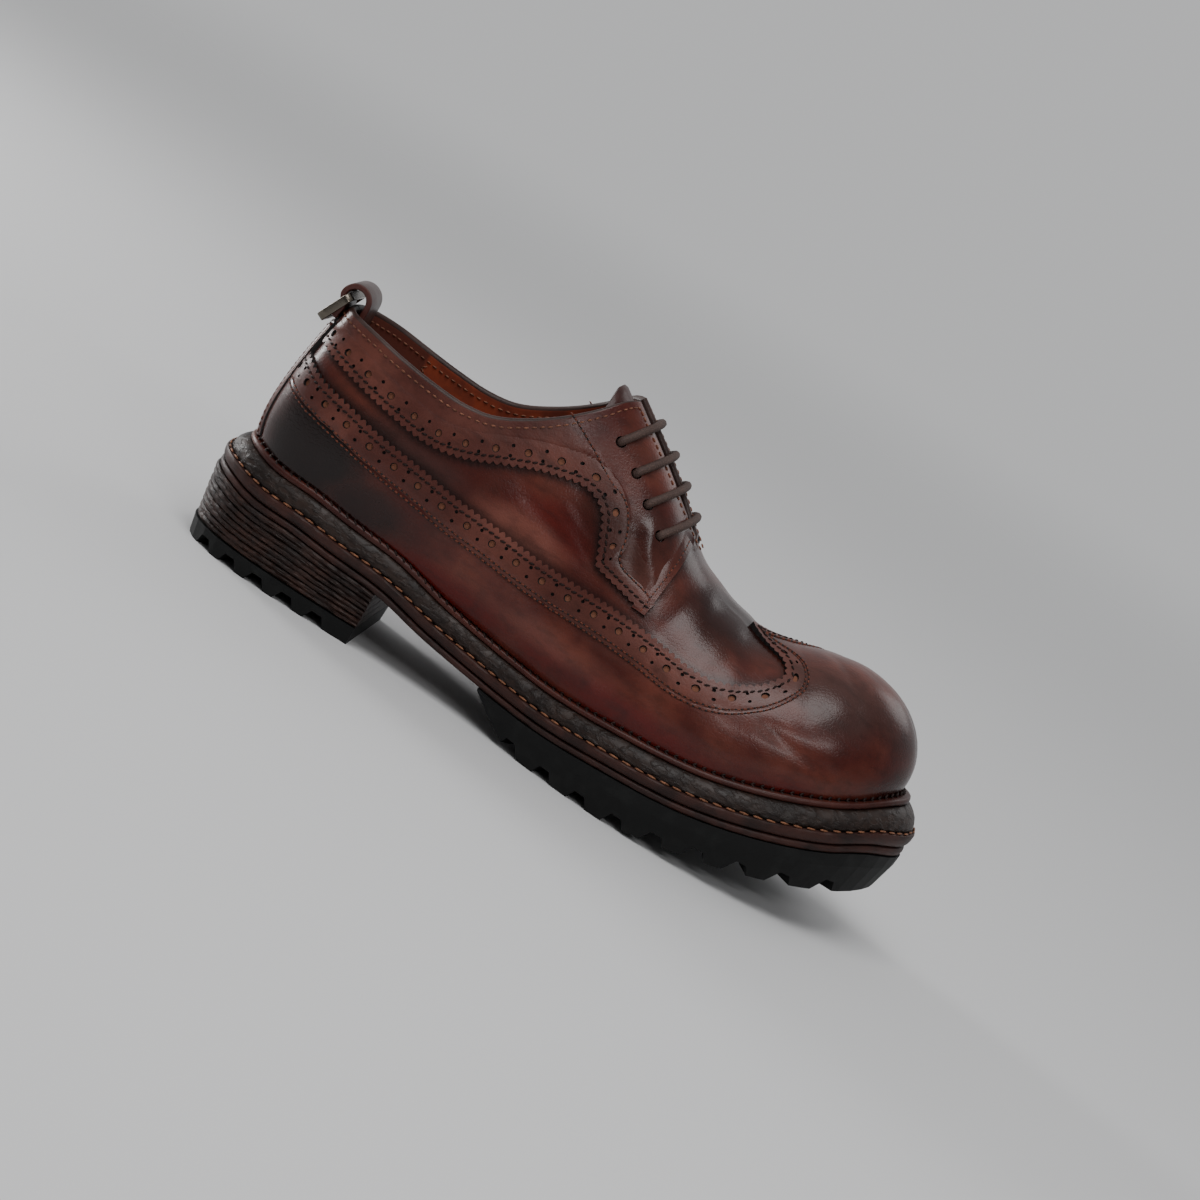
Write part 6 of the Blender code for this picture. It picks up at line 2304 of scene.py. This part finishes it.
    def line(self, inset: float, welt: float, height: Height, tilt: float) -> Route:
        """Route round the whole sole, from the heel back round the toe and home.

        Args:
            inset: distance in from the outsole's edge.
            welt: share of the welt width, further in.
            height: height along the shoe.
            tilt: how far the way out leans out from straight up, in degrees.

        Returns:
            The route.
        """
        share = np.linspace(0.0, 1.0, 700)
        halves, outs = [], []
        for side in (-1, 1):
            plan = self.edge_place(share, side, inset, welt)
            normal = self.footprint.normal(share, side)
            lean = math.radians(tilt)
            out = np.column_stack((normal * math.sin(lean), np.full(len(share), math.cos(lean))))
            halves.append(np.column_stack((plan, height(plan[:, 0]))))
            outs.append(out)
        spots = np.vstack((halves[0], halves[1][::-1][1:]))
        out = np.vstack((outs[0], outs[1][::-1][1:]))
        return Route(spots, unit(out))

    def sewing(self, bench: Bench, first: float, second: float) -> None:
        """Sew the sole through its ledge, and the rand to the upper with hooked double stitches."""
        ledge = self.line(1.05, 0.0, self.depth(second, 0.15), 38.0)
        through = Thread(5.4, 4.6, 0.44, 0.05, 0.0, 0.12)
        sew(bench, "sole_sewing", [(ledge, 0.0, through)], SOLE_THREAD, "edge_brown", 31)
        rand = self.line(0.0, 0.83, self.depth(0.0, 0.15), 44.0)
        hooks = [
            (rand, 0.75, Thread(3.9, 3.2, 0.58, 0.42, 34.0, 0.05)),
            (rand, -0.75, Thread(3.9, 3.2, 0.58, 0.42, -34.0, 0.05)),
        ]
        sew(bench, "rand_sewing", hooks, DARK_THREAD, "rand_red", 32)


def set_camera() -> None:
    """Camera at the photograph's angle, rolled as it is there and aimed at the shoe."""
    elevation, yaw, roll = math.radians(10.5), math.radians(2.6), math.radians(32.0)
    distance = 1.5
    data = bpy.data.cameras.new("camera")
    data.sensor_width = 24.0
    data.lens = 76.5
    camera = bpy.data.objects.new("camera", data)
    bpy.context.scene.collection.objects.link(camera)
    aim = Vector((0.002, 0.0, 0.062))
    level = math.cos(elevation)
    back = Vector((math.sin(yaw) * level, -math.cos(yaw) * level, math.sin(elevation)))
    camera.location = aim + back * distance
    ahead = -back
    camera.rotation_mode = "QUATERNION"
    turn = Matrix.Rotation(roll, 3, -ahead)
    camera.rotation_quaternion = turn.to_quaternion() @ ahead.to_track_quat("-Z", "Y")
    bpy.context.scene.camera = camera


@dataclass(frozen=True)
class Lamp:
    """A soft box: its place, its width and height, and its power in watts."""

    name: str
    place: tuple[float, float, float]
    wide: float
    high: float
    power: float


LAMPS = (
    Lamp("key", (-0.15, -0.75, 1.6), 1.1, 0.9, 18.0),
    Lamp("rim", (0.8, 1.1, 1.1), 0.7, 0.7, 2.5),
    Lamp("heel_strip", (-1.05, 0.50, 0.28), 0.3, 0.5, 9.0),
    Lamp("toe_strip", (0.55, -1.15, 0.78), 0.8, 0.12, 3.4),
)


def set_light() -> None:
    """Soft studio light: a pale room, brighter behind the shoe, and soft boxes above and beside it."""
    world = bpy.data.worlds.new("room")
    world.use_nodes = True
    nodes, links = world.node_tree.nodes, world.node_tree.links
    place = nodes.new("ShaderNodeTexCoord")
    split = nodes.new("ShaderNodeSeparateXYZ")
    fade = nodes.new("ShaderNodeMapRange")
    fade.interpolation_type = "SMOOTHSTEP"
    for name, value in (("From Min", -0.5), ("From Max", 0.80), ("To Min", 0.25), ("To Max", 0.69)):
        fade.inputs[name].default_value = value
    room = nodes["Background"]
    room.inputs["Color"].default_value = (0.80, 0.805, 0.815, 1.0)
    links.new(place.outputs["Generated"], split.inputs[0])
    links.new(split.outputs["Y"], fade.inputs["Value"])
    links.new(fade.outputs[0], room.inputs["Strength"])
    bpy.context.scene.world = world
    for lamp in LAMPS:
        data = bpy.data.lights.new(lamp.name, "AREA")
        data.shape = "RECTANGLE"
        data.size = lamp.wide
        data.size_y = lamp.high
        data.energy = lamp.power
        item = bpy.data.objects.new(lamp.name, data)
        bpy.context.scene.collection.objects.link(item)
        item.location = lamp.place
        aim = Vector((0.0, 0.0, 0.05)) - Vector(lamp.place)
        item.rotation_mode = "QUATERNION"
        item.rotation_quaternion = aim.to_track_quat("-Z", "Y")


def dress_frame() -> None:
    """Give the frame's own rubber and insole their finishes."""
    finishes = {"outsole": RUBBER, "heel_top_piece": RUBBER, "insole": LINING}
    for name, finish in finishes.items():
        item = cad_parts[name]
        for slot in item.material_slots:
            slot.material = finish.material()


def lay_floor() -> None:
    """Plain pale floor under the shoe."""
    bm = bmesh.new()
    bmesh.ops.create_circle(bm, cap_ends=True, segments=96, radius=6.0)
    mesh = bpy.data.meshes.new("floor")
    bm.to_mesh(mesh)
    bm.free()
    mesh.materials.append(FLOOR.material())
    floor = bpy.data.objects.new("floor", mesh)
    bpy.context.scene.collection.objects.link(floor)


def main() -> None:
    """Build the shoe piece by piece."""
    logging.basicConfig(level=logging.INFO, format="%(name)s: %(message)s")
    sizes = ShoeSizes()
    footprint = Footprint(sizes)
    last = Last(sizes, footprint)
    skin = Skin(last)
    seams = Seams(sizes, skin)
    bench = Bench()
    upper = UpperPiece(sizes, last, skin, seams)
    upper.build(bench)
    Panels(sizes, skin, seams).build(bench)
    HeelTrim(sizes, last, skin).build(bench)
    TonguePiece(sizes, last, skin).build(bench)
    LacePiece(sizes, skin, upper.eyelet_places()).build(bench)
    SoleStack(sizes, footprint).build(bench)
    dress_frame()
    lay_floor()
    set_light()
    set_camera()


if __name__ == "__main__":
    main()
